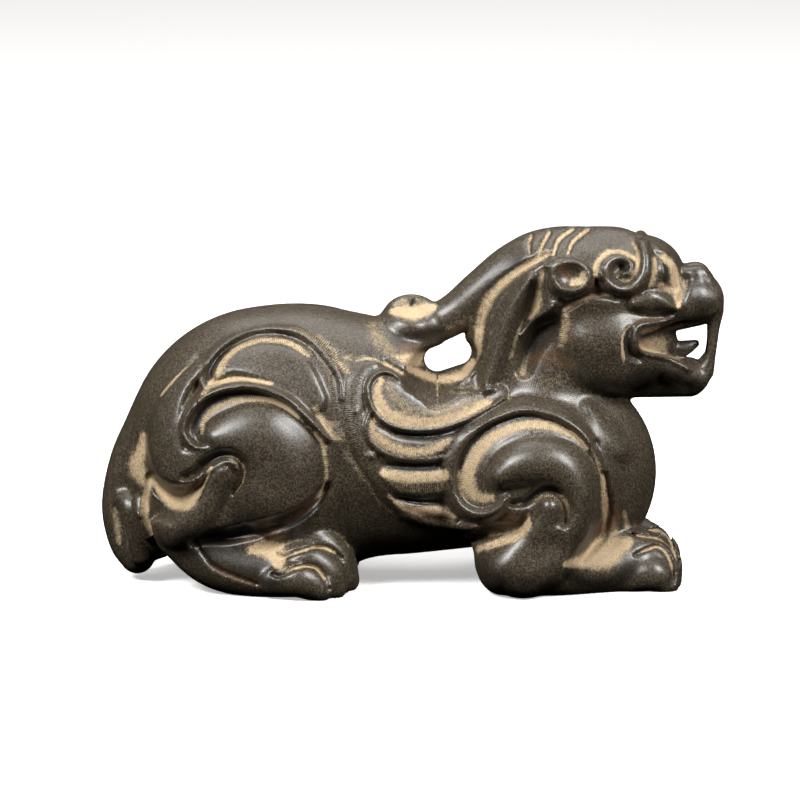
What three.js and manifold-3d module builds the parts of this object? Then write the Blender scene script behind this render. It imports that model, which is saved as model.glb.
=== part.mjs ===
// A recumbent winged beast, carved from one block of dark stone: head raised, mouth open,
// a crest of hair that runs down the neck, leaves it and curls on the back, scrolls on the
// haunch and shoulder, a wing of four feathers, tucked legs and a hanging tail.
//
// The beast faces +X, +Z is up, and it is the same on both sides of the plane Y = 0. Every
// place below is (x, s, z) in millimetres, where s is the distance from that plane.
// The carving is a field: a number at each place that is negative in the stone and positive
// outside. Forms are joined to it and cut from it, the relief shifts it, and the surface is
// where it is zero.

import * as THREE from "three";
import { mergeVertices } from "three/addons/utils/BufferGeometryUtils.js";
import Module from "manifold-3d";

// Driving dimensions, in millimetres.
const LENGTH = 124.8; // nose to rump
const WIDTH = 49.6; // across the haunches
const HEIGHT = 71.8; // soles to the top of the crest

const GRID_STEP = 0.8; // spacing of the samples of the field
const TRIANGLES = 9400; // what the surface is simplified to
const BLOCK = new THREE.Box3(
  new THREE.Vector3(-66, 0, -3), // s starts at the middle plane
  new THREE.Vector3(66, 27, 75),
);

// The side carving is drawn on a plane that leans inwards at the top, as the flanks do.
// A drawn point is (x, w), and w = z cos(LEAN) - s sin(LEAN).
const LEAN = THREE.MathUtils.degToRad(10);
const LEAN_COS = Math.cos(LEAN);
const LEAN_SIN = Math.sin(LEAN);

const STEPS_PER_SPAN = 8; // how finely a curve is followed between two of its points

const smoothstep = THREE.MathUtils.smoothstep;

// A smooth curve through points whose last number is a radius: [...coordinates, radius].
function followCurve(points) {
  const size = points[0].length;
  const at = (i) => {
    if (i < 0) return points[0].map((v, n) => 2 * v - points[1][n]);
    const last = points.length - 1;
    if (i > last) return points[last].map((v, n) => 2 * v - points[last - 1][n]);
    return points[i];
  };
  const followed = [];
  for (let i = 0; i < points.length - 1; i++) {
    const around = [at(i - 1), at(i), at(i + 1), at(i + 2)];
    for (let step = 0; step < STEPS_PER_SPAN; step++) {
      const t = step / STEPS_PER_SPAN;
      followed.push(catmullRom(around, t, size));
    }
  }
  followed.push(points[points.length - 1]);
  return followed;
}

function catmullRom([a, b, c, d], t, size) {
  const made = [];
  for (let n = 0; n < size; n++) {
    const slopeB = (c[n] - a[n]) / 2;
    const slopeC = (d[n] - b[n]) / 2;
    const cubic = 2 * b[n] - 2 * c[n] + slopeB + slopeC;
    const square = 3 * (c[n] - b[n]) - 2 * slopeB - slopeC;
    made.push(((cubic * t + square) * t + slopeB) * t + b[n]);
  }
  return made;
}

// Forms: each has a box, outside which it isn't looked at, and a distance.

const REACH = 3; // how far past its surface a form still acts, for the blends

function ellipsoid(centre, radii) {
  const [cx, cs, cz] = centre;
  const [rx, rs, rz] = radii;
  return {
    low: centre.map((v, n) => v - radii[n] - REACH),
    high: centre.map((v, n) => v + radii[n] + REACH),
    distance(x, s, z) {
      const u = x - cx;
      const v = s - cs;
      const w = z - cz;
      const far = Math.hypot(u / rx, v / rs, w / rz);
      const slope = Math.hypot(u / rx ** 2, v / rs ** 2, w / rz ** 2);
      return slope < 1e-9 ? -Math.min(rx, rs, rz) : (far * (far - 1)) / slope;
    },
  };
}

// A round limb along a curve through [x, s, z, radius]. narrow over 1 makes its section
// slimmer across the beast, and under 1 wider.
function limb(points, narrow = 1) {
  const path = followCurve(points);
  const reach = Math.max(...points.map((p) => p[3])) * Math.max(1, 1 / narrow) + REACH;
  const lowest = (n) => Math.min(...path.map((p) => p[n])) - reach;
  const highest = (n) => Math.max(...path.map((p) => p[n])) + reach;
  return {
    low: [lowest(0), lowest(1), lowest(2)],
    high: [highest(0), highest(1), highest(2)],
    distance(x, s, z) {
      let best = Infinity;
      for (let i = 1; i < path.length; i++) {
        const [ax, as, az, ar] = path[i - 1];
        const [bx, bs, bz, br] = path[i];
        const dx = bx - ax;
        const ds = (bs - as) * narrow;
        const dz = bz - az;
        const px = x - ax;
        const ps = (s - as) * narrow;
        const pz = z - az;
        const along = (px * dx + ps * ds + pz * dz) / (dx * dx + ds * ds + dz * dz);
        const t = Math.min(1, Math.max(0, along));
        const d = Math.hypot(px - dx * t, ps - ds * t, pz - dz * t) - (ar + (br - ar) * t);
        if (d < best) best = d;
      }
      return best;
    },
  };
}

// A passage across the beast: a limb drawn in the side view through [x, z, radius], which
// widens by flare for each millimetre outwards, from the middle plane to the depth s = to.
function passage(points, { flare = 0, from = -REACH, to = 30 } = {}) {
  const path = followCurve(points);
  const reach = Math.max(...points.map((p) => p[2])) + flare * to + REACH;
  const lowest = (n) => Math.min(...path.map((p) => p[n])) - reach;
  const highest = (n) => Math.max(...path.map((p) => p[n])) + reach;
  return {
    low: [lowest(0), from - REACH, lowest(1)],
    high: [highest(0), to + REACH, highest(1)],
    distance(x, s, z) {
      let best = Infinity;
      for (let i = 1; i < path.length; i++) {
        const [ax, az, ar] = path[i - 1];
        const [bx, bz, br] = path[i];
        const dx = bx - ax;
        const dz = bz - az;
        const along = ((x - ax) * dx + (z - az) * dz) / (dx * dx + dz * dz);
        const t = Math.min(1, Math.max(0, along));
        const d = Math.hypot(x - ax - dx * t, z - az - dz * t) - (ar + (br - ar) * t);
        if (d < best) best = d;
      }
      return Math.max(best - flare * Math.max(0, s), s - to, from - s);
    },
  };
}

// A field on a grid of samples, for one half of the beast.
class Field {
  constructor(block, step) {
    this.low = block.min;
    this.step = step;
    const size = block.getSize(new THREE.Vector3());
    this.count = size.toArray().map((v) => Math.ceil(v / step) + 1);
    this.values = new Float32Array(this.count[0] * this.count[1] * this.count[2]).fill(REACH * 4);
  }

  index(i, j, k) {
    return (k * this.count[1] + j) * this.count[0] + i;
  }

  place(i, j, k) {
    return [this.low.x + i * this.step, this.low.y + j * this.step, this.low.z + k * this.step];
  }

  // Calls change(value, x, s, z) on each sample in the box from low to high, and keeps the result.
  change(low, high, change) {
    const from = low.map((v, n) => Math.max(0, Math.ceil((v - this.low.toArray()[n]) / this.step)));
    const to = high.map((v, n) =>
      Math.min(this.count[n] - 1, Math.floor((v - this.low.toArray()[n]) / this.step)),
    );
    for (let k = from[2]; k <= to[2]; k++)
      for (let j = from[1]; j <= to[1]; j++)
        for (let i = from[0]; i <= to[0]; i++) {
          const n = this.index(i, j, k);
          const [x, s, z] = this.place(i, j, k);
          this.values[n] = change(this.values[n], x, s, z);
        }
  }

  // Joins a form, with a fillet that reaches blend millimetres up each side.
  join(form, blend = 1) {
    this.change(form.low, form.high, (value, x, s, z) =>
      smoothLeast(value, form.distance(x, s, z), blend),
    );
  }

  // Cuts a form away, with its edges rounded in the same way.
  cut(form, blend = 0.5) {
    this.change(form.low, form.high, (value, x, s, z) =>
      -smoothLeast(-value, form.distance(x, s, z), blend),
    );
  }

  // Raises the surface by the drawing's height where the drawing is, from the depth near to full.
  emboss(drawing, near, full) {
    const low = [this.low.x, near, this.low.z];
    const high = [-this.low.x, 40, 80];
    this.change(low, high, (value, x, s, z) => {
      const height = drawing.height(x, z * LEAN_COS - s * LEAN_SIN);
      return height === 0 ? value : value - height * smoothstep(s, near, full);
    });
  }
}

function smoothLeast(a, b, blend) {
  const gap = blend - Math.abs(a - b);
  const least = Math.min(a, b);
  return gap <= 0 ? least : least - (gap * gap) / (4 * blend);
}

// A drawing of relief on the leaning plane, held as heights on a fine grid.
class Drawing {
  constructor() {
    this.step = 0.25;
    this.low = [-66, -6];
    this.count = [528, 324];
    this.heights = new Float32Array(this.count[0] * this.count[1]);
  }

  // The height at (x, w), between the four nearest samples.
  height(x, w) {
    const u = (x - this.low[0]) / this.step;
    const v = (w - this.low[1]) / this.step;
    const i = Math.floor(u);
    const j = Math.floor(v);
    if (i < 0 || j < 0 || i >= this.count[0] - 1 || j >= this.count[1] - 1) return 0;
    const n = j * this.count[0] + i;
    const below = THREE.MathUtils.lerp(this.heights[n], this.heights[n + 1], u - i);
    const m = n + this.count[0];
    const above = THREE.MathUtils.lerp(this.heights[m], this.heights[m + 1], u - i);
    return THREE.MathUtils.lerp(below, above, v - j);
  }

  // Follows a stroke through [x, w, half width] and calls change(height, across) on each
  // sample that it covers, where across goes from 0 on its middle line to 1 at its edge.
  follow(points, change) {
    const path = followCurve(points);
    const reach = Math.max(...path.map((p) => p[2]));
    const span = [0, 1].map((n) => [
      Math.max(0, Math.ceil((Math.min(...path.map((p) => p[n])) - reach - this.low[n]) / this.step)),
      Math.min(
        this.count[n] - 1,
        Math.floor((Math.max(...path.map((p) => p[n])) + reach - this.low[n]) / this.step),
      ),
    ]);
    for (let j = span[1][0]; j <= span[1][1]; j++)
      for (let i = span[0][0]; i <= span[0][1]; i++) {
        const x = this.low[0] + i * this.step;
        const w = this.low[1] + j * this.step;
        let nearest = 1;
        for (let n = 1; n < path.length; n++) {
          const [ax, aw, ab] = path[n - 1];
          const [bx, bw, bb] = path[n];
          const along =
            ((x - ax) * (bx - ax) + (w - aw) * (bw - aw)) / ((bx - ax) ** 2 + (bw - aw) ** 2);
          const t = Math.min(1, Math.max(0, along));
          const half = ab + (bb - ab) * t;
          const d = Math.hypot(x - ax - (bx - ax) * t, w - aw - (bw - aw) * t);
          nearest = Math.min(nearest, d / half);
        }
        if (nearest < 1) {
          const n = j * this.count[0] + i;
          this.heights[n] = change(this.heights[n], nearest);
        }
      }
  }

  // A rounded band or swelling that stands up to height.
  raise(points, height) {
    this.follow(points, (old, across) => Math.max(old, height * Math.sqrt(1 - across ** 2)));
  }

  // A soft swelling that is added to what is there.
  swell(points, height) {
    this.follow(points, (old, across) => old + height * (1 - across ** 2) ** 2);
  }

  // A groove with a round bottom.
  sink(points, depth) {
    this.follow(points, (old, across) => old - depth * (1 - across ** 2));
  }
}

// The parts of the beast. Each adds its forms to the field in the order of the carving.

function carveTrunk(field) {
  field.join(ellipsoid([-28, 0, 27], [29.6, 18.6, 28.5]), 0.1); // rump
  field.join(
    limb(
      [
        [-20, 0, 31.5, 24],
        [-8, 0, 29.3, 23.2],
        [3, 0, 26.4, 19.8],
        [12, 0, 23.6, 16.4],
      ],
      1.25,
    ),
    3,
  );
  field.join(
    limb(
      [
        [-16, 0, 16.6, 11],
        [-2, 0, 17, 11],
        [12, 0, 18.4, 10.5],
      ],
      0.85,
    ),
    3,
  ); // belly
  field.join(ellipsoid([31.6, 0, 22], [17.6, 14.5, 19.8]), 3); // chest
  field.join(ellipsoid([-32, 11, 25.5], [20, 10.5, 22.5]), 2.5); // haunch
  field.join(ellipsoid([24.6, 11, 20.5], [16.4, 10.2, 18]), 2.5); // shoulder
  field.join(
    limb([
      [-48, 3, 22, 9],
      [-50.5, 3, 13, 6.5],
      [-52, 2, 8.6, 4.2],
    ]),
    3,
  ); // seat
}

function carveNeck(field) {
  field.join(
    limb(
      [
        [25, 0, 32, 14],
        [28, 0, 44, 13],
        [33, 0, 54, 12],
      ],
      1.1,
    ),
    3,
  );
  field.join(
    limb([
      [26, 0, 62, 8.5],
      [21, 0, 55.5, 8.5],
      [19, 0, 48, 8.5],
      [17, 0, 40, 9],
    ]),
    2,
  ); // nape
}

function carveHead(field) {
  field.join(ellipsoid([35, 0, 59], [14.5, 12, 12]), 3); // skull
  field.join(ellipsoid([45.5, 0, 61.8], [9.2, 9.8, 8.2]), 2); // brow
  field.join(ellipsoid([36.5, 7, 49.5], [10.5, 7, 9.5]), 2); // cheek
  field.join(
    limb(
      [
        [44, 0, 57, 7.6],
        [51, 0, 57, 6.6],
        [56.8, 0, 57.2, 5.6],
      ],
      0.85,
    ),
    2,
  ); // muzzle
  field.join(
    limb(
      [
        [40, 0, 43, 6],
        [48, 0, 41.9, 4.8],
        [55.5, 0, 41.2, 4],
      ],
      0.75,
    ),
    2,
  ); // lower jaw
  carveMouth(field);
  carveNose(field);
  carveEar(field);
}

function carveMouth(field) {
  field.cut(
    passage([
      [46.5, 50.4, 2.2],
      [52, 49, 2.7],
      [58.4, 48.3, 2.3],
    ]),
    0.5,
  );
  field.join(ellipsoid([49, 0, 48.2], [7.8, 4.2, 6]), 0.8); // tongue
  const lips = [
    [54, 6.4, 56, 1],
    [48.6, 7.5, 54.7, 1.2],
    [45.6, 8.5, 54.3, 1.2],
    [44, 9, 52.6, 1.3],
    [43.6, 9, 49.9, 1.3],
    [44.4, 8.5, 47.6, 1.2],
    [47.2, 7.5, 46.8, 1.1],
    [50.6, 6.5, 45.2, 1],
    [54, 5.5, 43.4, 1],
    [57, 4, 41.6, 1],
  ];
  field.join(limb(lips), 0.6);
  const fang = [
    [60.6, 2.6, 54.6, 1.8],
    [60.8, 2.8, 50.5, 1.2],
    [60, 2.7, 46.5, 1],
    [59.2, 2.5, 43, 1.1],
  ];
  field.join(limb(fang), 0.8);
  const lowerLip = [
    [56, 1.5, 40.8, 3],
    [58, 2, 42.4, 1.8],
    [59.2, 2.2, 44.6, 1],
  ];
  field.join(limb(lowerLip), 0.8);
  const tusk = [
    [55.8, 4.4, 43.2, 1.4],
    [55.6, 4.4, 46, 1],
    [55.8, 4.2, 48.4, 0.5],
  ];
  field.join(limb(tusk), 0.5);
}

function carveNose(field) {
  field.join(ellipsoid([59.4, 2, 57.2], [3.1, 3.4, 3.2]), 0.8);
  field.join(ellipsoid([56.4, 3.2, 62.4], [2.8, 2.3, 2.1]), 0.8);
  field.cut(ellipsoid([55.4, 5.8, 60.4], [1.2, 1.6, 1.3]), 0.5);
}

function carveEar(field) {
  field.join(
    limb([
      [26.8, 11.2, 66.4, 0.9],
      [29, 12.2, 65, 2.7],
      [32, 12.4, 62.8, 3.5],
      [34, 11.8, 61.6, 2.8],
    ]),
    0.6,
  );
  field.cut(
    limb([
      [28.8, 15.2, 65, 1.3],
      [31, 15.4, 63.6, 2.4],
      [32.8, 15.2, 62.6, 2.1],
    ]),
    0.4,
  );
}

// The crest runs down the back of the neck, leaves it, and ends in a curl on the back.
function carveCrest(field) {
  field.cut(
    passage(
      [
        [4.8, 44.8, 2.4],
        [9.4, 46.2, 2.7],
      ],
      { flare: 0.28, to: 16 },
    ),
    1,
  );
  const lock = [
    [44.5, 0, 65.8, 4],
    [41, 0, 66.9, 4.6],
    [35, 0, 66.9, 4.7],
    [28, 0, 66.6, 4.8],
    [21, 0, 63.6, 5],
    [14.5, 0, 58.6, 4.7],
    [8.5, 0, 54, 4],
    [2.5, 0, 51, 3.6],
    [-3.5, 0, 49.6, 3.4],
  ];
  field.join(limb(lock, 0.95), 1);
  const curl = [
    [-3, 0, 49.8, 3],
    [-6, 0, 52, 2.2],
    [-5.8, 0, 54.4, 1.5],
    [-3.4, 0, 56.2, 1.3],
    [0, 0, 56.9, 1.2],
    [2.4, 0, 56, 1.2],
    [2.4, 0, 54, 1.1],
    [0.2, 0, 53.4, 0.9],
  ];
  field.join(limb(curl, 0.35), 0.5);
  field.join(ellipsoid([-1.5, 0, 53.8], [4.5, 2.2, 3.4]), 0.5);
}

function carveHindLeg(field) {
  const shank = [
    [-31, 15.4, 21, 6],
    [-39, 15.4, 17, 6],
    [-44.4, 14.4, 13.4, 5.4],
    [-47, 13.4, 12, 4.4],
  ];
  field.join(limb(shank), 1.5);
  const foot = [
    [-46.4, 14, 12.4, 4.2],
    [-43, 15.6, 9.8, 5.4],
    [-38, 17, 7.2, 6],
    [-30, 18.2, 4.8, 5.8],
    [-23, 17, 4.2, 5.2],
  ];
  field.join(limb(foot), 2);
  const toes = [
    [
      [-28, 20.8, 3.8, 3],
      [-23, 21.2, 4.2, 3.6],
      [-18.6, 20.4, 2.4, 3],
    ],
    [
      [-28, 18, 6.4, 2.8],
      [-22, 18.2, 7.8, 3.4],
      [-17.4, 17.8, 5.2, 3.4],
      [-15.8, 17.6, 2, 2.8],
    ],
    [
      [-27, 14.4, 9.4, 3],
      [-20.6, 14.4, 10.8, 3.6],
      [-16.2, 14.2, 7.8, 3.6],
      [-14.4, 14, 3, 3.2],
    ],
    [
      [-25, 10.8, 8.6, 2.8],
      [-19, 10.8, 9.4, 3.2],
      [-14.8, 10.8, 6.4, 3.2],
      [-13.4, 10.8, 2, 2.8],
    ],
  ];
  for (const toe of toes) field.join(limb(toe), 0.5);
}

function carveForeleg(field) {
  const forearm = [
    [19.6, 14, 6.8, 7.2],
    [28, 13.6, 5.6, 6.8],
    [37, 11, 4.8, 6.2],
    [44, 8.6, 4.4, 5.8],
  ];
  field.join(limb(forearm), 2);
  field.join(ellipsoid([44.2, 7.4, 4.8], [8.2, 6.8, 7.4]), 1.5);
  const toes = [
    [
      [44, 11.6, 2.4, 3.4],
      [48, 11.8, 3, 3.4],
      [50.8, 11.2, 1.4, 2.8],
    ],
    [
      [44, 9, 7, 3],
      [48.4, 8.8, 6.2, 3],
      [51.3, 8.4, 3.8, 2.7],
      [51.8, 8.2, 1.4, 2.4],
    ],
    [
      [44, 5.6, 8.4, 3],
      [48.4, 5.4, 7, 3],
      [51.6, 5.2, 4.4, 2.6],
      [52, 5.2, 1.6, 2.3],
    ],
    [
      [43.5, 2.4, 8, 2.8],
      [47.6, 2.4, 6.8, 2.8],
      [50.6, 2.3, 4.2, 2.5],
      [51, 2.2, 1.6, 2.2],
    ],
  ];
  for (const toe of toes) field.join(limb(toe), 0.5);
}

function carveTail(field) {
  const tail = [
    [-46, 0, 42, 2.6],
    [-52.3, 0, 35.2, 3],
    [-56.4, 0, 27.8, 3.3],
    [-58.7, 0, 20.5, 3.3],
    [-59.4, 0, 14, 3.3],
    [-57.9, 0, 7.8, 3.4],
    [-55.6, 0, 4.8, 3.6],
  ];
  field.join(limb(tail, 0.7), 1.5);
  const lobes = [
    [
      [-58, 4, 17.4, 2],
      [-56.6, 6.2, 15.4, 2.2],
      [-55.6, 6.4, 10, 1.8],
      [-54.6, 5, 6, 2.2],
    ],
    [
      [-54.6, 8, 17.4, 1.6],
      [-53.8, 9.6, 14.6, 1.7],
      [-53.2, 9, 11, 1.3],
    ],
  ];
  for (const lobe of lobes) field.join(limb(lobe), 0.6);
}

function drawHaunch(flank) {
  flank.raise([[-34.5, 27.6, 6.8], [-29.5, 27.2, 8.4], [-26.6, 23, 9.2], [-27, 17, 8.6]], 3); // thigh
  const lobe = [
    [-41, 43, 1.5],
    [-46.5, 38, 2.4],
    [-49.3, 32, 3.2],
    [-49.2, 26.5, 3.6],
    [-47, 23, 3.6],
    [-43.2, 23.2, 3.4],
    [-39.6, 25.6, 3],
  ];
  flank.raise(lobe, 2.6);
  flank.raise([[-36.8, 21.4, 2.4], [-40, 18.4, 2.8], [-44, 14, 3]], 2.4); // shank
  const ring = [
    [-41.8, 26.8, 0.9],
    [-44.1, 27.7, 1.3],
    [-45.1, 29.8, 1.4],
    [-44.6, 32.3, 1.4],
    [-43, 34.9, 1.4],
    [-40, 37.1, 1.4],
    [-36.2, 38.4, 1.3],
    [-33, 38.7, 1.2],
    [-29.8, 38, 1.1],
    [-26.4, 36.7, 1.1],
    [-23.3, 34.4, 1.2],
    [-20.9, 31.8, 1.1],
    [-18.6, 29.6, 0.8],
    [-16.8, 27.6, 0.5],
  ];
  flank.raise(ring, 1.9);
  flank.raise([
    [-38.4, 42, 1.6],
    [-35, 44.4, 2.6],
    [-29, 44, 4],
    [-23, 41.2, 4],
    [-18.6, 35.6, 2.6],
  ], 0.9);
  const crescent = [
    [-41.7, 38.8, 1],
    [-42, 41.2, 1],
    [-40.8, 43.8, 1],
    [-38.2, 46.6, 1],
    [-34.9, 48.8, 1],
    [-31.1, 50.2, 1],
    [-27.3, 50.5, 1],
    [-23.2, 49.8, 0.9],
    [-19.8, 47.8, 0.9],
    [-16.8, 44.4, 0.9],
    [-14.2, 40.6, 0.7],
  ];
  flank.raise(crescent, 1.3);
  const gutter = [
    [-40.2, 39.8, 0.6],
    [-39.8, 41.8, 0.9],
    [-37.6, 44.9, 0.9],
    [-34.6, 47.2, 0.8],
    [-31.1, 48.6, 0.7],
    [-27.3, 48.8, 0.7],
    [-24, 48.2, 0.5],
  ];
  flank.sink(gutter, 0.9);
  const hook = [
    [-46.4, 19.1, 1],
    [-43.3, 20.4, 1],
    [-41.3, 23, 0.9],
    [-39, 24.7, 0.9],
    [-36.2, 25.4, 0.9],
    [-34.4, 24.4, 0.9],
    [-33.4, 21.9, 0.9],
    [-33.6, 19.3, 0.8],
    [-35.2, 17.8, 0.5],
  ];
  flank.sink(hook, 2.2);
  flank.sink([
    [-52, 20.4, 1.2],
    [-49.8, 17.6, 1.9],
    [-46.8, 16.6, 2],
    [-44, 17, 1.8],
    [-42.2, 18.6, 1.2],
  ], 1.5);
  flank.sink([[-42.8, 44.6, 0.4], [-46.4, 41, 0.5], [-49.8, 37, 0.6], [-52.4, 32, 0.7]], 0.6);
  flank.sink([
    [-53.4, 32.7, 0.6],
    [-54.2, 30.9, 0.8],
    [-56, 28.4, 1],
    [-57.5, 25.3, 1],
    [-58.5, 22.7, 0.7],
  ], 1);
  flank.sink([[-54.4, 27.8, 1], [-54.8, 22.6, 1.9]], 0.9);
  flank.sink([[-52.4, 20.7, 0.7], [-53.2, 16.9, 0.9], [-53.5, 13, 0.9], [-52.4, 9.2, 0.6]], 0.9);
}

function drawWing(flank) {
  const frame = [
    [-7, 43.4, 1.2],
    [-9.6, 42, 1.9],
    [-11.5, 39.4, 2.3],
    [-11.9, 36.2, 2.3],
    [-11.3, 32.4, 2],
    [-10.5, 28.6, 1.7],
    [-9.4, 24.8, 1.7],
    [-7.4, 21, 1.8],
    [-5, 17.4, 1.7],
    [-2, 14, 1.5],
    [2, 11.7, 1.2],
    [7, 10.6, 1.1],
    [12.9, 10.5, 0.8],
  ];
  flank.raise(frame, 1.1);
  const feathers = [
    [[-4.6, 37.6, 3.7], [0.2, 35.4, 4.4], [5.3, 34.6, 3.9], [10.4, 35, 2.8], [15.5, 36.4, 1.4]],
    [[-7.2, 30.4, 1.6], [-4.2, 27.8, 2.3], [0.2, 26.4, 2.3], [4, 26.6, 2.1], [7.2, 28.2, 1]],
    [[-5, 21.4, 2], [-0.1, 19.6, 2.9], [5.8, 19.8, 2.8]],
    [[-3, 15.6, 0.8], [1.5, 14.5, 1.3], [5.6, 13.8, 1.5], [8.4, 12.8, 0.8]],
  ];
  feathers.forEach((feather, n) => flank.raise(feather, 2 - 0.25 * n));
  const edges = [
    [
      [-1.1, 39.4, 0.4],
      [-4.2, 41.3, 0.6],
      [-7.2, 41.3, 0.7],
      [-8.9, 38.1, 0.7],
      [-7.5, 33.8, 0.8],
      [-3.1, 30.2, 1],
      [2.5, 29.1, 1.3],
      [7.8, 30.1, 1.2],
      [12.6, 32, 0.9],
    ],
    [
      [-8.8, 33.6, 0.4],
      [-9.3, 31.2, 0.5],
      [-8.2, 27.6, 0.6],
      [-4.4, 24.9, 0.7],
      [0.9, 23.6, 0.9],
      [5.5, 24.2, 0.8],
    ],
  ];
  for (const edge of edges) flank.raise(edge, 1.9);
}

function drawShoulder(flank) {
  const comma = [
    [17.4, 21.4, 3.2],
    [20.4, 23, 4.3],
    [25, 23.8, 4.9],
    [29.8, 22.6, 4.8],
    [32.6, 19, 4.4],
    [33.2, 15, 4.2],
    [32.4, 10.7, 4.2],
    [30.2, 6.9, 4.2],
    [27, 3.5, 4.2],
  ];
  flank.raise(comma, 3);
  const ring = [
    [38.1, 21.9, 0.5],
    [36.8, 25.4, 0.8],
    [34.4, 29.2, 1.1],
    [31.5, 31.8, 1.4],
    [27.7, 33.8, 1.6],
    [22.9, 34.8, 1.7],
    [18.6, 34, 1.7],
    [14.3, 32.1, 1.7],
    [10.6, 29.2, 1.7],
    [7.9, 25.1, 1.7],
    [7.1, 21.4, 1.7],
    [7.5, 17.6, 1.7],
    [9.2, 14.7, 1.6],
    [11.9, 13.1, 1.5],
    [14.8, 13.1, 1.3],
    [17.3, 14.4, 1.1],
    [18.6, 16.3, 0.8],
  ];
  flank.raise(ring, 2);
  const forearm = [
    [27.6, 14.6, 2.6],
    [26.8, 11.6, 3.2],
    [24.4, 8.6, 3.8],
    [21, 5.6, 4],
    [18, 2.6, 4],
  ];
  flank.raise(forearm, 2.8);
  const cleft = [
    [19.6, 15.4, 0.7],
    [22.3, 15.4, 0.8],
    [24.4, 17, 0.9],
    [26.9, 18.2, 0.9],
    [29.2, 17.6, 0.9],
    [30.7, 15.8, 0.9],
    [31, 13.6, 0.8],
    [30.2, 11.6, 0.5],
  ];
  flank.sink(cleft, 2);
  flank.sink([
    [21.6, 12.4, 1.2],
    [20.4, 10.3, 1.6],
    [17.5, 9.3, 1.7],
    [14.3, 8.9, 1.6],
    [12.7, 7.9, 1.1],
  ], 1.8);
  flank.sink([[36.6, 32, 0.7], [39, 26, 0.9], [40, 19, 1.2], [39.6, 12, 1.6]], 0.9);
}

function drawNeck(head) {
  head.sink(
    [
      [26.2, 63.2, 0.9],
      [20.6, 60.2, 1.2],
      [16.2, 55.8, 1.3],
      [14, 51, 1.3],
      [13.4, 46, 1.2],
      [10.6, 41.6, 1],
    ],
    1,
  );
  head.swell([[23.6, 61, 1.8], [18.6, 52, 2.8], [15.6, 44, 3], [13.2, 39, 2.4]], 1.4);
  head.sink([[25, 57.6, 1.2], [21.6, 52.4, 1.2], [19, 48, 0.8]], 0.9);
  head.swell([[27.2, 55.6, 2.2], [23.6, 52, 2.8], [20, 48, 2], [18, 45.6, 0.8]], 1.6);
  head.sink([[30, 56, 1], [27.2, 50.4, 1.4], [26.6, 46, 1]], 1.2);
}

function drawFace(head) {
  const scroll = [
    [46.6, 67, 0.9],
    [46.4, 63.6, 1.3],
    [45, 60, 1.5],
    [42.4, 57.8, 1.5],
    [39.6, 58.2, 1.5],
    [38, 60.8, 1.4],
    [39, 63.2, 1.3],
    [41.6, 64.2, 1.1],
    [43.6, 62.8, 1],
    [43.2, 60.8, 0.9],
    [42, 60.6, 0.7],
  ];
  head.raise(scroll, 1.8);
  head.sink([[40.2, 60.8, 0.5], [41.4, 62, 0.6]], 0.8);
  head.swell([[47, 58, 2], [51, 56.4, 2.4], [52.6, 55.2, 1.6]], 1.2);
  head.sink([[46, 53.6, 0.6], [50, 53.9, 0.8], [52.4, 54.6, 0.6]], 0.8);
  head.raise([[50, 62.8, 0.8], [50.2, 60.8, 1.1], [50.6, 59, 0.7]], 1);
  head.sink([[52.4, 62, 1], [53.4, 58.4, 1.4], [53.6, 55.8, 1]], 0.8);
  head.swell([[48, 66, 1.4], [51, 64.8, 1.4]], 0.8);
}

// Locks cut across the crest, from its top edge down and back.
function drawCrest(crest) {
  for (let n = 0; n < 4; n++) {
    const x = 31 - 4.2 * n;
    const w = 70.5 - 0.7 * n - 0.25 * n * n;
    crest.sink([[x + 1.2, w + 2, 0.5], [x - 2, w - 2.4, 0.7], [x - 3.6, w - 6, 0.5]], 0.8);
  }
}

// The lines between the toes.
function drawPaws(paws) {
  const lines = [
    [
      [-27, 5.4, 0.4],
      [-25.6, 4.8, 0.5],
      [-22.8, 5.8, 0.6],
      [-18.8, 6.8, 0.6],
      [-16.2, 6.2, 0.6],
      [-14.2, 4.4, 0.6],
    ],
    [
      [-28, 1.6, 0.4],
      [-26.4, 1.2, 0.5],
      [-22.8, 2.8, 0.6],
      [-19.8, 3, 0.6],
      [-18, 1.6, 0.6],
      [-16.8, -1.4, 0.6],
    ],
    [[45.4, 10, 0.4], [47.1, 10.2, 0.5], [49.6, 9.4, 0.6], [52.3, 7.9, 0.5]],
    [[46.8, 5.8, 0.4], [48, 6.4, 0.5], [50.4, 5.1, 0.6], [51.8, 2.8, 0.6], [52, 0, 0.5]],
  ];
  for (const line of lines) paws.sink(line, 0.8);
}

function carveBeast() {
  const field = new Field(BLOCK, GRID_STEP);
  carveTrunk(field);
  carveNeck(field);
  carveTail(field);
  carveHindLeg(field);
  carveForeleg(field);
  const flank = new Drawing();
  drawHaunch(flank);
  drawWing(flank);
  drawShoulder(flank);
  field.emboss(flank, 7, 12);
  carveHead(field);
  carveCrest(field);
  const head = new Drawing();
  drawNeck(head);
  drawFace(head);
  field.emboss(head, 2, 6);
  const crest = new Drawing();
  drawCrest(crest);
  field.emboss(crest, 0, 0.1);
  const paws = new Drawing();
  drawPaws(paws);
  field.emboss(paws, 0, 0.1);
  return field;
}

// The six tetrahedra of a cell, each a path of corners from its lowest to its highest. A corner
// is a number with bit 1 for a step along X, bit 2 along Y and bit 4 along Z.
const PATHS = [
  { corners: [0, 1, 3, 7], mirrored: false },
  { corners: [0, 2, 6, 7], mirrored: false },
  { corners: [0, 4, 5, 7], mirrored: false },
  { corners: [0, 1, 5, 7], mirrored: true },
  { corners: [0, 2, 3, 7], mirrored: true },
  { corners: [0, 4, 6, 7], mirrored: true },
];

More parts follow.
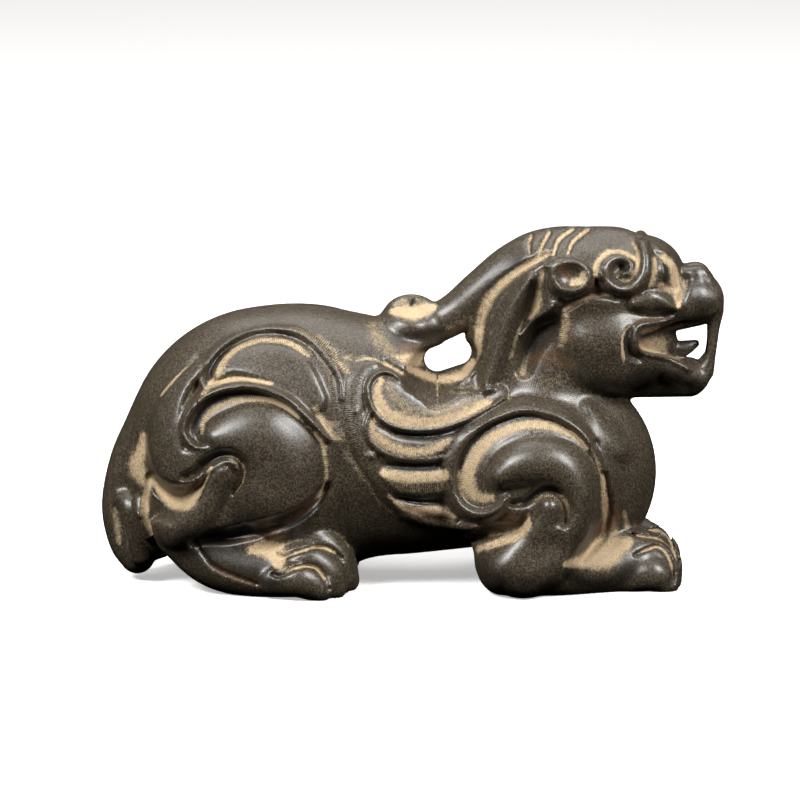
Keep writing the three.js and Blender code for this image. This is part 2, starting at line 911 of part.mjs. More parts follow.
// The triangles that part a tetrahedron's inner corners from its outer ones, for each set of
// inner corners. A triangle is three edges, and an edge is two of the places 0 to 3.
const CUTS = Array.from({ length: 16 }, (_, set) => {
  const inner = [0, 1, 2, 3].filter((place) => set & (1 << place));
  const outer = [0, 1, 2, 3].filter((place) => !(set & (1 << place)));
  const order = [...inner, ...outer];
  const swaps = order.flatMap((a, n) => order.slice(n + 1).filter((b) => b < a)).length;
  let rim = [];
  if (inner.length === 1) rim = outer.map((place) => [inner[0], place]);
  if (inner.length === 3) rim = inner.map((place) => [place, outer[0]]);
  if (inner.length === 2) {
    rim = [[inner[0], outer[0]], [inner[0], outer[1]], [inner[1], outer[1]], [inner[1], outer[0]]];
  }
  if (swaps % 2) rim.reverse();
  const triangles = [];
  for (let n = 2; n < rim.length; n++) triangles.push([rim[0], rim[n - 1], rim[n]]);
  return triangles;
});

// The surface where the field is zero, on both sides of the middle plane.
function traceSurface(field) {
  const [nx, ny, nz] = field.count;
  const across = 2 * ny - 1;
  const nodeAt = (i, j, k) => (k * across + j) * nx + i;
  const corner = Array.from({ length: 8 }, (_, bits) => [bits & 1, (bits >> 1) & 1, bits >> 2]);
  const vertexOn = new Int32Array(nx * across * nz * 8).fill(-1);
  const positions = [];
  const triangles = [];
  const value = new Float64Array(8);

  const vertex = (i, j, k, from, to) => {
    const [lower, upper] = from < to ? [from, to] : [to, from];
    const low = corner[lower];
    const key = nodeAt(i + low[0], j + low[1], k + low[2]) * 8 + (upper ^ lower);
    if (vertexOn[key] < 0) {
      const t = THREE.MathUtils.clamp(value[lower] / (value[lower] - value[upper]), 0.05, 0.95);
      const along = corner[upper].map((v, n) => low[n] + (v - low[n]) * t);
      vertexOn[key] = positions.length / 3;
      positions.push(
        field.low.x + (i + along[0]) * field.step,
        (j - ny + 1 + along[1]) * field.step,
        field.low.z + (k + along[2]) * field.step,
      );
    }
    return vertexOn[key];
  };

  for (let k = 0; k < nz - 1; k++)
    for (let j = 0; j < across - 1; j++)
      for (let i = 0; i < nx - 1; i++) {
        let inside = 0;
        for (let bits = 0; bits < 8; bits++) {
          const [di, dj, dk] = corner[bits];
          value[bits] = field.values[field.index(i + di, Math.abs(j + dj - ny + 1), k + dk)];
          if (value[bits] < 0) inside++;
        }
        if (inside === 0 || inside === 8) continue;
        for (const { corners, mirrored } of PATHS) {
          let set = 0;
          for (let place = 0; place < 4; place++) if (value[corners[place]] < 0) set |= 1 << place;
          for (const triangle of CUTS[set]) {
            const ends = triangle.map(([a, b]) => vertex(i, j, k, corners[a], corners[b]));
            if (mirrored) ends.reverse();
            triangles.push(...ends);
          }
        }
      }
  return { positions: Float64Array.from(positions), triangles: Int32Array.from(triangles) };
}

// Simplifies a closed mesh: the edge whose removal moves the surface least goes first.
class Simplifier {
  constructor({ positions, triangles }) {
    this.positions = positions;
    this.triangles = triangles;
    this.left = triangles.length / 3;
    this.around = Array.from({ length: positions.length / 3 }, () => []);
    triangles.forEach((v, n) => this.around[v].push(Math.floor(n / 3)));
    this.quadrics = new Float64Array((positions.length / 3) * 10);
    this.changes = new Int32Array(positions.length / 3);
    this.heap = [];
    for (let t = 0; t < this.left; t++) this.addPlane(t);
    for (let n = 0; n < triangles.length; n++) {
      const next = n % 3 === 2 ? n - 2 : n + 1;
      if (triangles[n] < triangles[next]) this.offer(triangles[n], triangles[next]);
    }
  }

  corners(t) {
    return this.triangles.subarray(t * 3, t * 3 + 3);
  }

  point(v) {
    return this.positions.subarray(v * 3, v * 3 + 3);
  }

  // Adds to each corner of a triangle how far a place is from its plane, squared, by area.
  addPlane(t) {
    const [a, b, c] = [...this.corners(t)].map((v) => this.point(v));
    const n = cross(minus(b, a), minus(c, a));
    const area = Math.hypot(...n) / 2;
    if (area < 1e-9) return;
    const plane = n.map((v) => v / (2 * area));
    plane.push(-(plane[0] * a[0] + plane[1] * a[1] + plane[2] * a[2]));
    for (const v of this.corners(t)) {
      let m = v * 10;
      for (let row = 0; row < 4; row++)
        for (let column = row; column < 4; column++)
          this.quadrics[m++] += plane[row] * plane[column] * area;
    }
  }

  error(q, [x, y, z]) {
    return (
      q[0] * x * x + 2 * q[1] * x * y + 2 * q[2] * x * z + 2 * q[3] * x +
      q[4] * y * y + 2 * q[5] * y * z + 2 * q[6] * y + q[7] * z * z + 2 * q[8] * z + q[9]
    );
  }

  // Puts the edge from u to v on the heap, with the best place for the vertex that it leaves.
  offer(u, v) {
    const q = new Float64Array(10);
    for (let n = 0; n < 10; n++) q[n] = this.quadrics[u * 10 + n] + this.quadrics[v * 10 + n];
    const a = this.point(u);
    const b = this.point(v);
    const middle = [0, 1, 2].map((n) => (a[n] + b[n]) / 2);
    const span = (a[0] - b[0]) ** 2 + (a[1] - b[1]) ** 2 + (a[2] - b[2]) ** 2;
    let place = lowestPoint(q, middle, span);
    let cost = place ? this.error(q, place) : Infinity;
    for (const other of [middle, [...a], [...b]]) {
      const otherCost = this.error(q, other);
      if (otherCost < cost - 1e-9) {
        place = other;
        cost = otherCost;
      }
    }
    cost = Math.max(0, cost) + 1e-4 * span;
    push(this.heap, { cost, u, v, changes: this.changes[u] + this.changes[v], place });
  }

  // Whether the surface stays whole, and no triangle turns over, when u and v meet at place.
  allowed(u, v, place) {
    const ring = new Set();
    for (const t of this.around[u]) for (const c of this.corners(t)) ring.add(c);
    const shared = new Set();
    for (const t of this.around[v]) for (const c of this.corners(t)) if (ring.has(c)) shared.add(c);
    if (shared.size !== 4) return false;
    for (const [moved, fixed] of [[u, v], [v, u]])
      for (const t of this.around[moved]) {
        const corners = this.corners(t);
        if (corners.includes(fixed)) continue;
        const before = [...corners].map((c) => this.point(c));
        const after = [...corners].map((c) => (c === moved ? place : this.point(c)));
        const old = cross(minus(before[1], before[0]), minus(before[2], before[0]));
        const now = cross(minus(after[1], after[0]), minus(after[2], after[0]));
        const sizes = Math.hypot(...old) * Math.hypot(...now);
        if (old[0] * now[0] + old[1] * now[1] + old[2] * now[2] < 0.15 * sizes) return false;
        if (Math.hypot(...now) < 1e-3) return false;
      }
    return true;
  }

  collapse(u, v, place) {
    this.point(u).set(place);
    for (let n = 0; n < 10; n++) this.quadrics[u * 10 + n] += this.quadrics[v * 10 + n];
    const kept = [];
    for (const t of this.around[v]) {
      const corners = this.corners(t);
      if (corners.includes(u)) {
        this.left--;
        for (const c of corners)
          if (c !== u && c !== v) this.around[c] = this.around[c].filter((other) => other !== t);
        this.around[u] = this.around[u].filter((other) => other !== t);
        corners.fill(-1);
      } else {
        corners[corners.indexOf(v)] = u;
        kept.push(t);
      }
    }
    this.around[u].push(...kept);
    this.around[v] = [];
    this.changes[u]++;
    this.changes[v]++;
    const ring = new Set();
    for (const t of this.around[u]) for (const c of this.corners(t)) if (c !== u) ring.add(c);
    for (const c of ring) this.offer(u, c);
  }

  reduceTo(count) {
    while (this.left > count && this.heap.length) {
      const { u, v, changes, place } = pop(this.heap);
      if (this.changes[u] + this.changes[v] !== changes) continue;
      if (!this.around[u].length || !this.around[v].length) continue;
      if (this.allowed(u, v, place)) this.collapse(u, v, place);
    }
    return this.toGeometry();
  }

  toGeometry() {
    const number = new Map();
    const positions = [];
    const index = [];
    for (const v of this.triangles) {
      if (v < 0) continue;
      if (!number.has(v)) {
        number.set(v, number.size);
        positions.push(...this.point(v));
      }
      index.push(number.get(v));
    }
    return makeGeometry(Float32Array.from(positions), Uint32Array.from(index));
  }
}

const minus = (a, b) => [a[0] - b[0], a[1] - b[1], a[2] - b[2]];

const cross = (a, b) => [
  a[1] * b[2] - a[2] * b[1],
  a[2] * b[0] - a[0] * b[2],
  a[0] * b[1] - a[1] * b[0],
];

// Where a quadric is least, or null when that isn't clear or lies far from the middle.
function lowestPoint(q, middle, span) {
  const rows = [[q[0], q[1], q[2]], [q[1], q[4], q[5]], [q[2], q[5], q[7]]];
  const right = [-q[3], -q[6], -q[8]];
  const whole = cross(rows[1], rows[2]).reduce((sum, v, n) => sum + v * rows[0][n], 0);
  const scale = (q[0] + q[4] + q[7]) ** 3;
  if (Math.abs(whole) < 1e-4 * scale) return null;
  const place = [0, 1, 2].map((n) => {
    const swapped = rows.map((row, m) => row.map((v, column) => (column === n ? right[m] : v)));
    const part = cross(swapped[1], swapped[2]).reduce((sum, v, m) => sum + v * swapped[0][m], 0);
    return part / whole;
  });
  const away = place.reduce((sum, v, n) => sum + (v - middle[n]) ** 2, 0);
  return away > 4 * span ? null : place;
}

// A heap of entries with the least cost first.
function push(heap, entry) {
  let n = heap.push(entry) - 1;
  while (n > 0) {
    const parent = (n - 1) >> 1;
    if (heap[parent].cost <= entry.cost) break;
    heap[n] = heap[parent];
    n = parent;
  }
  heap[n] = entry;
}

function pop(heap) {
  const first = heap[0];
  const last = heap.pop();
  if (!heap.length) return first;
  let n = 0;
  while (2 * n + 1 < heap.length) {
    let child = 2 * n + 1;
    if (child + 1 < heap.length && heap[child + 1].cost < heap[child].cost) child++;
    if (heap[child].cost >= last.cost) break;
    heap[n] = heap[child];
    n = child;
  }
  heap[n] = last;
  return first;
}

function makeGeometry(positions, index) {
  const geometry = new THREE.BufferGeometry();
  geometry.setAttribute("position", new THREE.BufferAttribute(positions, 3));
  geometry.setIndex(new THREE.BufferAttribute(index, 1));
  return geometry;
}

const wasm = await Module();
wasm.setup();

function toSolid(geometry) {
  const bare = geometry.clone();
  bare.deleteAttribute("normal");
  bare.deleteAttribute("uv");
  const merged = mergeVertices(bare, 1e-4);
  return new wasm.Manifold(
    new wasm.Mesh({
      numProp: 3,
      vertProperties: Float32Array.from(merged.getAttribute("position").array),
      triVerts: Uint32Array.from(merged.getIndex().array),
    }),
  );
}

// Cuts the soles flat at z = 0.
function cutSoles(geometry) {
  const depth = 20;
  const floor = new THREE.BoxGeometry(2 * LENGTH, 2 * LENGTH, depth).translate(0, 0, -depth / 2);
  const mesh = toSolid(geometry).subtract(toSolid(floor)).getMesh();
  return makeGeometry(mesh.vertProperties, mesh.triVerts);
}

// Brings the carving to its stated size, standing on the middle of its footprint.
function fitToSize(geometry) {
  geometry.computeBoundingBox();
  const size = geometry.boundingBox.getSize(new THREE.Vector3());
  const centre = geometry.boundingBox.getCenter(new THREE.Vector3());
  geometry.translate(-centre.x, -centre.y, -geometry.boundingBox.min.z);
  geometry.scale(LENGTH / size.x, WIDTH / size.y, HEIGHT / size.z);
  geometry.computeVertexNormals();
  return geometry;
}

const surface = new Simplifier(traceSurface(carveBeast()));
const beast = new THREE.Mesh(
  fitToSize(cutSoles(surface.reduceTo(TRIANGLES))),
  new THREE.MeshStandardMaterial({ color: "#5b5347", roughness: 0.4, metalness: 0 }),
);
beast.name = "beast";

const figure = new THREE.Group();
figure.add(beast);

export default figure;
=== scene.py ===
"""A recumbent winged beast of dark polished stone, dressed for the studio.

The beast is carved here as a field on a fine grid: a number at each place that is negative in
the stone and positive outside. Forms are joined to it and cut from it, drawings of relief
shift it, and the surface is where it is zero. Lengths of the carving are millimetres: x runs
to the front, z is up, and s is the distance from the middle plane, since both sides are alike.
"""

from __future__ import annotations

import logging
import math
from collections.abc import Iterator
from dataclasses import dataclass, field
from enum import Enum

import bpy
import numpy as np
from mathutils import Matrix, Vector


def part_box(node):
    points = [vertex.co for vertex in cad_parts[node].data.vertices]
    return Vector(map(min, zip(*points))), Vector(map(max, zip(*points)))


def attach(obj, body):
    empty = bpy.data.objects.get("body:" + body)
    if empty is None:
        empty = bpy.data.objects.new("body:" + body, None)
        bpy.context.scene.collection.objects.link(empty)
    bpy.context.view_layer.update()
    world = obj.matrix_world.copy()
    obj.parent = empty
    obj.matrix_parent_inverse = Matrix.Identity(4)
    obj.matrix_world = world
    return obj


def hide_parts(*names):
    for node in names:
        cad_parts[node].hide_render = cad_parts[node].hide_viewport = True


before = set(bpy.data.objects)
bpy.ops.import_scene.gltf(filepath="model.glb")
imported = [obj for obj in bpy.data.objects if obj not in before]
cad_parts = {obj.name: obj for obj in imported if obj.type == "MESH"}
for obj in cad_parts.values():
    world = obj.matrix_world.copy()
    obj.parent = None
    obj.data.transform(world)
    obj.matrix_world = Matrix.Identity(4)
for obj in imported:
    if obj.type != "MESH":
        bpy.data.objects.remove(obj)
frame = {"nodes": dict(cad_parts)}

log = logging.getLogger("beast")

Point = tuple[float, ...]
Path = tuple[Point, ...]
Array = np.ndarray
Colour = tuple[float, float, float]

METRES = 0.001  # one millimetre
REACH = 3.0  # how far past its surface a form still acts, for the blends
FAR = 12.0  # the field where no form is near
LEAN = math.radians(10)  # the drawings' plane leans inwards at the top, as the flanks do


def follow_curve(points: Path, steps: int = 8) -> Array:
    """Runs a smooth curve through points.

    Between two points each coordinate is a cubic whose slope at a point is half the step from
    the point before it to the point after it (a Catmull-Rom curve). At the ends the missing
    neighbour is the mirror image of the one beyond.

    Args:
        points: The points, all with the same number of coordinates.
        steps: How many places are worked out between two points.

    Returns:
        The followed places, one row each.
    """
    given = np.asarray(points, float)
    before = 2 * given[0] - given[1]
    after = 2 * given[-1] - given[-2]
    padded = np.vstack([before, given, after])
    a, b, c, d = (padded[n : n + len(given) - 1, None, :] for n in range(4))
    t = (np.arange(steps) / steps)[None, :, None]
    slope_b = (c - a) / 2
    slope_c = (d - b) / 2
    cubic = 2 * (b - c) + slope_b + slope_c
    square = 3 * (c - b) - 2 * slope_b - slope_c
    made = ((cubic * t + square) * t + slope_b) * t + b
    return np.vstack([made.reshape(-1, given.shape[1]), given[-1]])


def smooth_least(a: Array, b: Array, blend: float) -> Array:
    """The lesser of two fields, with a fillet where they are closer than blend.

    Formula: the lesser one, less the square of (blend - gap) over four times blend.
    """
    gap = np.maximum(blend - np.abs(a - b), 0)
    return np.minimum(a, b) - gap * gap / (4 * blend)


def smoothstep(value: Array, low: float, high: float) -> Array:
    """Rises smoothly from 0 at low to 1 at high: 3 t squared less 2 t cubed."""
    t = np.clip((value - low) / (high - low), 0, 1)
    return t * t * (3 - 2 * t)


def blur(values: Array, radius: int, axes: tuple[int, ...], passes: int = 2) -> Array:
    """Blurs an array with running means along some axes.

    Formula: each pass replaces a sample by the mean of the samples up to radius away, worked
    out from differences of the running sum.

    Args:
        values: The array.
        radius: How many samples the mean reaches to each side.
        axes: The axes that are blurred.
        passes: How often each axis is gone over.

    Returns:
        The blurred array.
    """
    width = 2 * radius + 1
    for axis in axes:
        for _ in range(passes):
            pad = [(0, 0)] * values.ndim
            pad[axis] = (radius + 1, radius)
            total = np.cumsum(np.pad(values, pad, mode="edge"), axis=axis, dtype=np.float64)
            upper = np.take(total, range(width, total.shape[axis]), axis=axis)
            lower = np.take(total, range(0, total.shape[axis] - width), axis=axis)
            values = ((upper - lower) / width).astype(np.float32)
    return values


@dataclass(frozen=True)
class Cone:
    """A straight stretch of a limb, round, with a radius that changes along it."""

    start: Point  # x, s, z, radius
    end: Point
    narrow: float = 1.0  # over 1 makes the section slimmer across the beast

    def box(self) -> tuple[Array, Array]:
        """The corners of the box in which the stretch acts."""
        both = np.array([self.start, self.end])
        reach = both[:, 3].max() * max(1, 1 / self.narrow) + REACH
        return both[:, :3].min(0) - reach, both[:, :3].max(0) + reach

    def distance(self, x: Array, s: Array, z: Array) -> Array:
        """The distance to the nearest place of the axis, less the radius there."""
        dx, ds, dz = (self.end[n] - self.start[n] for n in range(3))
        ds *= self.narrow
        px = x - self.start[0]
        ps = (s - self.start[1]) * self.narrow
        pz = z - self.start[2]
        length = dx * dx + ds * ds + dz * dz
        t = np.clip((px * dx + ps * ds + pz * dz) / length, 0, 1)
        away = np.sqrt((px - dx * t) ** 2 + (ps - ds * t) ** 2 + (pz - dz * t) ** 2)
        return away - (self.start[3] + (self.end[3] - self.start[3]) * t)


@dataclass(frozen=True)
class Bore:
    """A straight stretch of a passage across the beast, drawn in the side view."""

    start: Point  # x, z, radius
    end: Point
    flare: float  # how much the radius grows for each millimetre outwards
    nearest: float
    deepest: float

    def box(self) -> tuple[Array, Array]:
        """The corners of the box in which the stretch acts."""
        both = np.array([self.start, self.end])
        reach = both[:, 2].max() + self.flare * self.deepest + REACH
        low = both[:, :2].min(0) - reach
        high = both[:, :2].max(0) + reach
        return (
            np.array([low[0], self.nearest - REACH, low[1]]),
            np.array([high[0], self.deepest + REACH, high[1]]),
        )

    def distance(self, x: Array, s: Array, z: Array) -> Array:
        """The distance to the axis in the side view, less the flared radius, held in depth."""
        dx, dz = (self.end[n] - self.start[n] for n in range(2))
        px = x - self.start[0]
        pz = z - self.start[1]
        t = np.clip((px * dx + pz * dz) / (dx * dx + dz * dz), 0, 1)
        away = np.sqrt((px - dx * t) ** 2 + (pz - dz * t) ** 2)
        radius = self.start[2] + (self.end[2] - self.start[2]) * t
        inside = away - radius - self.flare * np.maximum(s, 0)
        return np.maximum(np.maximum(inside, s - self.deepest), self.nearest - s)


@dataclass(frozen=True)
class Form:
    """A form that is joined to the stone or cut from it: the union of its stretches."""

    def stretches(self) -> Iterator[Cone | Bore | Ellipsoid]:
        """The simple shapes that the form is the union of."""
        raise NotImplementedError

    def distance(self, x: Array, s: Array, z: Array) -> Array:
        """The least of the distances to the form's stretches."""
        return np.minimum.reduce([part.distance(x, s, z) for part in self.stretches()])


@dataclass(frozen=True)
class Ellipsoid(Form):
    """An ellipsoid."""

    centre: Point
    radii: Point

    def stretches(self) -> Iterator[Ellipsoid]:
        """The ellipsoid is its own only stretch."""
        yield self

    def box(self) -> tuple[Array, Array]:
        """The corners of the box in which the ellipsoid acts."""
        centre, radii = np.array(self.centre), np.array(self.radii)
        return centre - radii - REACH, centre + radii + REACH

    def distance(self, x: Array, s: Array, z: Array) -> Array:
        """The scaled distance from the centre, less 1, over its slope: k (k - 1) / slope."""
        u, v, w = x - self.centre[0], s - self.centre[1], z - self.centre[2]
        a, b, c = self.radii
        far = np.sqrt((u / a) ** 2 + (v / b) ** 2 + (w / c) ** 2)
        slope = np.sqrt((u / a**2) ** 2 + (v / b**2) ** 2 + (w / c**2) ** 2)
        return far * (far - 1) / np.maximum(slope, 1e-6)


@dataclass(frozen=True)
class Limb(Form):
    """A round limb along a smooth curve through (x, s, z, radius)."""

    points: Path
    narrow: float = 1.0

    def stretches(self) -> Iterator[Cone]:
        """The straight stretches between the followed places of the curve."""
        path = follow_curve(self.points, 6)
        for start, end in zip(path[:-1], path[1:]):
            yield Cone(tuple(start), tuple(end), self.narrow)


@dataclass(frozen=True)
class Passage(Form):
    """A passage across the beast, drawn in the side view through (x, z, radius)."""

    points: Path
    flare: float = 0.0
    nearest: float = -REACH
    deepest: float = 30.0

    def stretches(self) -> Iterator[Bore]:
        """The straight stretches between the followed places of the curve."""
        path = follow_curve(self.points, 6)
        for start, end in zip(path[:-1], path[1:]):
            yield Bore(tuple(start), tuple(end), self.flare, self.nearest, self.deepest)


class Edge(Enum):
    """The section of a stroke of relief, from its middle line (0) to its edge (1)."""

    ROUND = "round"  # a rounded band, steep at its edges
    SHELF = "shelf"  # a flat band with rounded edges
    SOFT = "soft"  # a swelling that runs out flat
    GROOVE = "groove"  # a round-bottomed groove
    HOLLOW = "hollow"  # a hollow that runs out flat


class Tone(Enum):
    """What a stain is of: earth, or painted shade."""

    EARTH = "earth"  # pale tan earth
    RUST = "rust"  # reddish earth
    DARK = "dark"  # painted shade: darkening of grooves, undercuts and undersides, where shade falls


@dataclass(frozen=True)
class Stroke:
    """One stroke of relief, drawn through (x, w, half width).

    Attributes:
        path: The points of the stroke's middle line.
        height: How far the stroke stands up, or how deep a groove goes.
        edge: Its section.
        crest: Where a band is highest, from -1 at its right edge to 1 at its left edge.
    """

    path: Path
    height: float
    edge: Edge = Edge.ROUND
    crest: float = 0.0


@dataclass(frozen=True)
class Stain:
    """A stroke of old earth, or of painted shade, on the surface, drawn through (x, w, half width).

    Attributes:
        path: The points of the stroke's middle line.
        amount: How much of it lies there, from 0 to 1.
        hatch: How strongly graver cuts cross the stroke, from 0 to 1.
        tone: What the stain is of: earth, or painted shade.
    """

    path: Path
    amount: float = 1.0
    hatch: float = 0.0
    tone: Tone = Tone.EARTH


@dataclass
class Relief:
    """A drawing of relief, earth, painted shade and hatching on the leaning plane, on a fine grid.

    A drawn point is (x, w), and w = z cos(LEAN) - s sin(LEAN). The drawing acts from the depth
    near, and fully from the depth full.
    """

    near: float
    full: float
    step: float = 0.2
    low: tuple[float, float] = (-66.0, -6.0)
    count: tuple[int, int] = (660, 412)
    height: Array = field(init=False)
    earth: Array = field(init=False)
    rust: Array = field(init=False)
    # The dark sheet is painted shade: it darkens the stone where shade falls in grooves and undersides.
    dark: Array = field(init=False)
    hatch: Array = field(init=False)
    along: Array = field(init=False)

    def __post_init__(self) -> None:
        """Makes the empty sheets of the drawing, one row for each w."""
        shape = (self.count[1], self.count[0])
        for name in ("height", "earth", "rust", "dark", "hatch", "along"):
            setattr(self, name, np.zeros(shape, np.float32))

    def follow(self, path: Path, past: float = 1.0) -> tuple[tuple, Array, Array, Array]:
        """Measures the samples about a stroke.

        Formula: for each stretch, the nearest place of its axis is found by projection; the
        distance to it over the half width there is how far across the stroke a sample lies.

        Args:
            path: The points (x, w, half width).
            past: How many half widths to each side are measured.

        Returns:
            The region of the sheets, and for its samples how far across the stroke they lie,
            on which side (1 left, -1 right), and how far along it.
        """
        line = follow_curve(path)
        reach = line[:, 2].max() * past + self.step
        low = line[:, :2].min(0) - reach
        high = line[:, :2].max(0) + reach
        first = [max(0, math.ceil((low[n] - self.low[n]) / self.step)) for n in range(2)]
        last = [
            min(self.count[n], math.floor((high[n] - self.low[n]) / self.step) + 1)
            for n in range(2)
        ]
        x = (self.low[0] + np.arange(first[0], last[0]) * self.step)[None, :]
        w = (self.low[1] + np.arange(first[1], last[1]) * self.step)[:, None]
        across = np.full((w.shape[0], x.shape[1]), past, np.float32)
        side = np.ones_like(across)
        along = np.zeros_like(across)
        gone = 0.0
        for (ax, aw, ab), (bx, bw, bb) in zip(line[:-1], line[1:]):
            dx, dw = bx - ax, bw - aw
            length = math.hypot(dx, dw)
            if length < 1e-6:
                continue
            t = np.clip(((x - ax) * dx + (w - aw) * dw) / length**2, 0, 1)
            away = np.hypot(x - ax - dx * t, w - aw - dw * t) / (ab + (bb - ab) * t)
            nearer = away < across
            across[nearer] = away[nearer]
            along[nearer] = (gone + t * length)[nearer]
            side[nearer] = np.sign(dx * (w - aw) - dw * (x - ax))[nearer]
            gone += length
        region = (slice(first[1], last[1]), slice(first[0], last[0]))
        return region, across, side, along

    def carve(self, stroke: Stroke) -> None:
        """Draws a stroke of relief.

        Formula: with a the distance across from the crest, over the room to that edge, a round
        band is the height times (1 - a squared) to the power 0.7 and a shelf the height times
        (1 - a to the eighth) to the power 0.7; both lie over what is lower. A swelling adds
        the height times (1 - a squared) squared. A groove takes off the depth times
        (1 - a squared), and a hollow the depth times that squared.
        """
        region, across, side, _ = self.follow(stroke.path)
        place = across * side
        room = np.where(place > stroke.crest, 1 - stroke.crest, 1 + stroke.crest)
        power = 8 if stroke.edge is Edge.SHELF else 2
        fall = np.clip(1 - np.abs((place - stroke.crest) / room) ** power, 0, 1)
        fall[across >= 1] = 0
        old = self.height[region]
        if stroke.edge in (Edge.ROUND, Edge.SHELF):
            self.height[region] = np.maximum(old, stroke.height * fall**0.7)
        elif stroke.edge is Edge.SOFT:
            self.height[region] = old + stroke.height * fall**2
        elif stroke.edge is Edge.GROOVE:
            self.height[region] = old - stroke.height * fall
        else:
            self.height[region] = old - stroke.height * fall**2

    def stain(self, stain: Stain) -> None:
        """Draws a stroke of earth, painted shade or hatching, with soft edges."""
        region, across, _, along = self.follow(stain.path, 1.8)
        cover = 1 - smoothstep(across, 0.3, 1.7)
        sheet = getattr(self, stain.tone.value)
        sheet[region] = np.maximum(sheet[region], stain.amount * cover)
        if stain.hatch > 0:
            near = (across < 1.8) & (stain.hatch * cover >= self.hatch[region])
            self.along[region] = np.where(near, along, self.along[region])
            self.hatch[region] = np.maximum(self.hatch[region], stain.hatch * cover)

    def soften(self) -> None:
        """Rounds the steps of the drawing off, as polishing does."""
        self.height = blur(self.height, 1, (0, 1), 2)

    def read(self, sheet: Array, x: Array, s: Array, z: Array) -> Array:
        """Reads a sheet at places of the beast, between its four nearest samples."""
        u = (x - self.low[0]) / self.step
        v = (z * math.cos(LEAN) - s * math.sin(LEAN) - self.low[1]) / self.step
        u, v = np.broadcast_arrays(u, v)
        u = np.clip(u, 0, self.count[0] - 1.001)
        v = np.clip(v, 0, self.count[1] - 1.001)
        i = u.astype(np.int32)
        j = v.astype(np.int32)
        fu = (u - i).astype(np.float32)
        fv = (v - j).astype(np.float32)
        flat = sheet.ravel()
        n = j * self.count[0] + i
        below = flat[n] * (1 - fu) + flat[n + 1] * fu
        n += self.count[0]
        above = flat[n] * (1 - fu) + flat[n + 1] * fu
        return below * (1 - fv) + above * fv

    def strength(self, s: Array) -> Array:
        """How strongly the drawing acts at a depth."""
        return smoothstep(s, self.near, self.full)


@dataclass
class Block:
    """The block of stone: the field of one half of the beast, in rows of x, s and z."""

    step: float
    low: Point = (-66.0, 0.0, -3.0)
    high: Point = (66.0, 27.0, 75.0)
    values: Array = field(init=False)
    axes: list[Array] = field(init=False)

    def __post_init__(self) -> None:
        """Makes the empty block."""
        counts = [int((self.high[n] - self.low[n]) / self.step) + 1 for n in range(3)]
        self.axes = [
            (self.low[n] + np.arange(counts[n]) * self.step).astype(np.float32) for n in range(3)
        ]
        self.values = np.full(counts, FAR, np.float32)

    def region(self, low: Array, high: Array) -> tuple[slice, ...]:
        """The samples in a box."""
        bounds = [np.searchsorted(self.axes[n], (low[n], high[n])) for n in range(3)]
        return tuple(slice(int(a), int(b)) for a, b in bounds)

    def places(self, region: tuple[slice, ...]) -> tuple[Array, Array, Array]:
        """The x, s and z of a region's samples, each along its own axis."""
        x, s, z = (self.axes[n][region[n]] for n in range(3))
        return x[:, None, None], s[None, :, None], z[None, None, :]

    def measure(self, form: Form) -> tuple[tuple[slice, ...], Array]:
        """Measures the distance to a form, each stretch in its own box.

        Args:
            form: The form.

        Returns:
            The region that the form acts in, and the distances there.
        """
        stretches = list(form.stretches())
        boxes = [part.box() for part in stretches]
        region = self.region(
            np.min([low for low, _ in boxes], axis=0), np.max([high for _, high in boxes], axis=0)
        )
        best = np.full([r.stop - r.start for r in region], FAR, np.float32)
        for part, (low, high) in zip(stretches, boxes):
            own = self.region(low, high)
            if any(r.stop <= r.start for r in own):
                continue
            inner = tuple(slice(o.start - r.start, o.stop - r.start) for o, r in zip(own, region))
            found = part.distance(*self.places(own)).astype(np.float32)
            best[inner] = np.minimum(best[inner], found)
        return region, best

    def join(self, form: Form, blend: float = 1.0) -> None:
        """Joins a form, with a fillet that reaches blend millimetres up each side."""
        region, distance = self.measure(form)
        self.values[region] = smooth_least(self.values[region], distance, blend)

    def cut(self, form: Form, blend: float = 0.5) -> None:
        """Cuts a form away, with its edges rounded in the same way."""
        region, distance = self.measure(form)
        self.values[region] = -smooth_least(-self.values[region], distance, blend)

    def emboss(self, relief: Relief) -> None:
        """Raises the surface by the drawing's height."""
        x, s, z = self.places(tuple(slice(0, len(axis)) for axis in self.axes))
        acting = s[0, :, 0] > relief.near
        height = relief.read(relief.height, x, s[:, acting], z)
        self.values[:, acting] -= height * relief.strength(s[:, acting])

    def stand(self) -> None:
        """Cuts the soles flat at z = 0."""
        self.values = np.maximum(self.values, -self.axes[2][None, None, :])

    def whole(self) -> Array:
        """The field of both halves."""
        return np.concatenate([self.values[:, :0:-1], self.values], axis=1)


@dataclass(frozen=True)
class Trunk:
    """The body: rump, back, belly, chest, and the swellings of haunch and shoulder."""

    rump: Ellipsoid = Ellipsoid((-28, 0, 27), (29.6, 18.6, 28.5))
    back: Limb = Limb(
        ((-20, 0, 31.5, 24), (-8, 0, 29.3, 23.2), (3, 0, 26.4, 19.8), (12, 0, 23.6, 16.4)), 1.25
    )
    belly: Limb = Limb(((-16, 0, 16.6, 11), (-2, 0, 17, 11), (12, 0, 18.4, 10.5)), 0.85)
    chest: Ellipsoid = Ellipsoid((31.6, 0, 22), (17.6, 14.5, 19.8))
    haunch: Ellipsoid = Ellipsoid((-32, 11, 25.5), (20, 10.5, 22.5))
    shoulder: Ellipsoid = Ellipsoid((24.6, 11, 20.5), (16.4, 10.2, 18))
    seat: Limb = Limb(((-48, 3, 22, 9), (-50.5, 3, 13, 6.5), (-52, 2, 8.6, 4.2)))

    def carve(self, block: Block) -> None:
        """Joins the forms of the body."""
        block.join(self.rump, 0.1)
        for form in (self.back, self.belly, self.chest):
            block.join(form, 3)
        for form in (self.haunch, self.shoulder):
            block.join(form, 2.5)
        block.join(self.seat, 3)


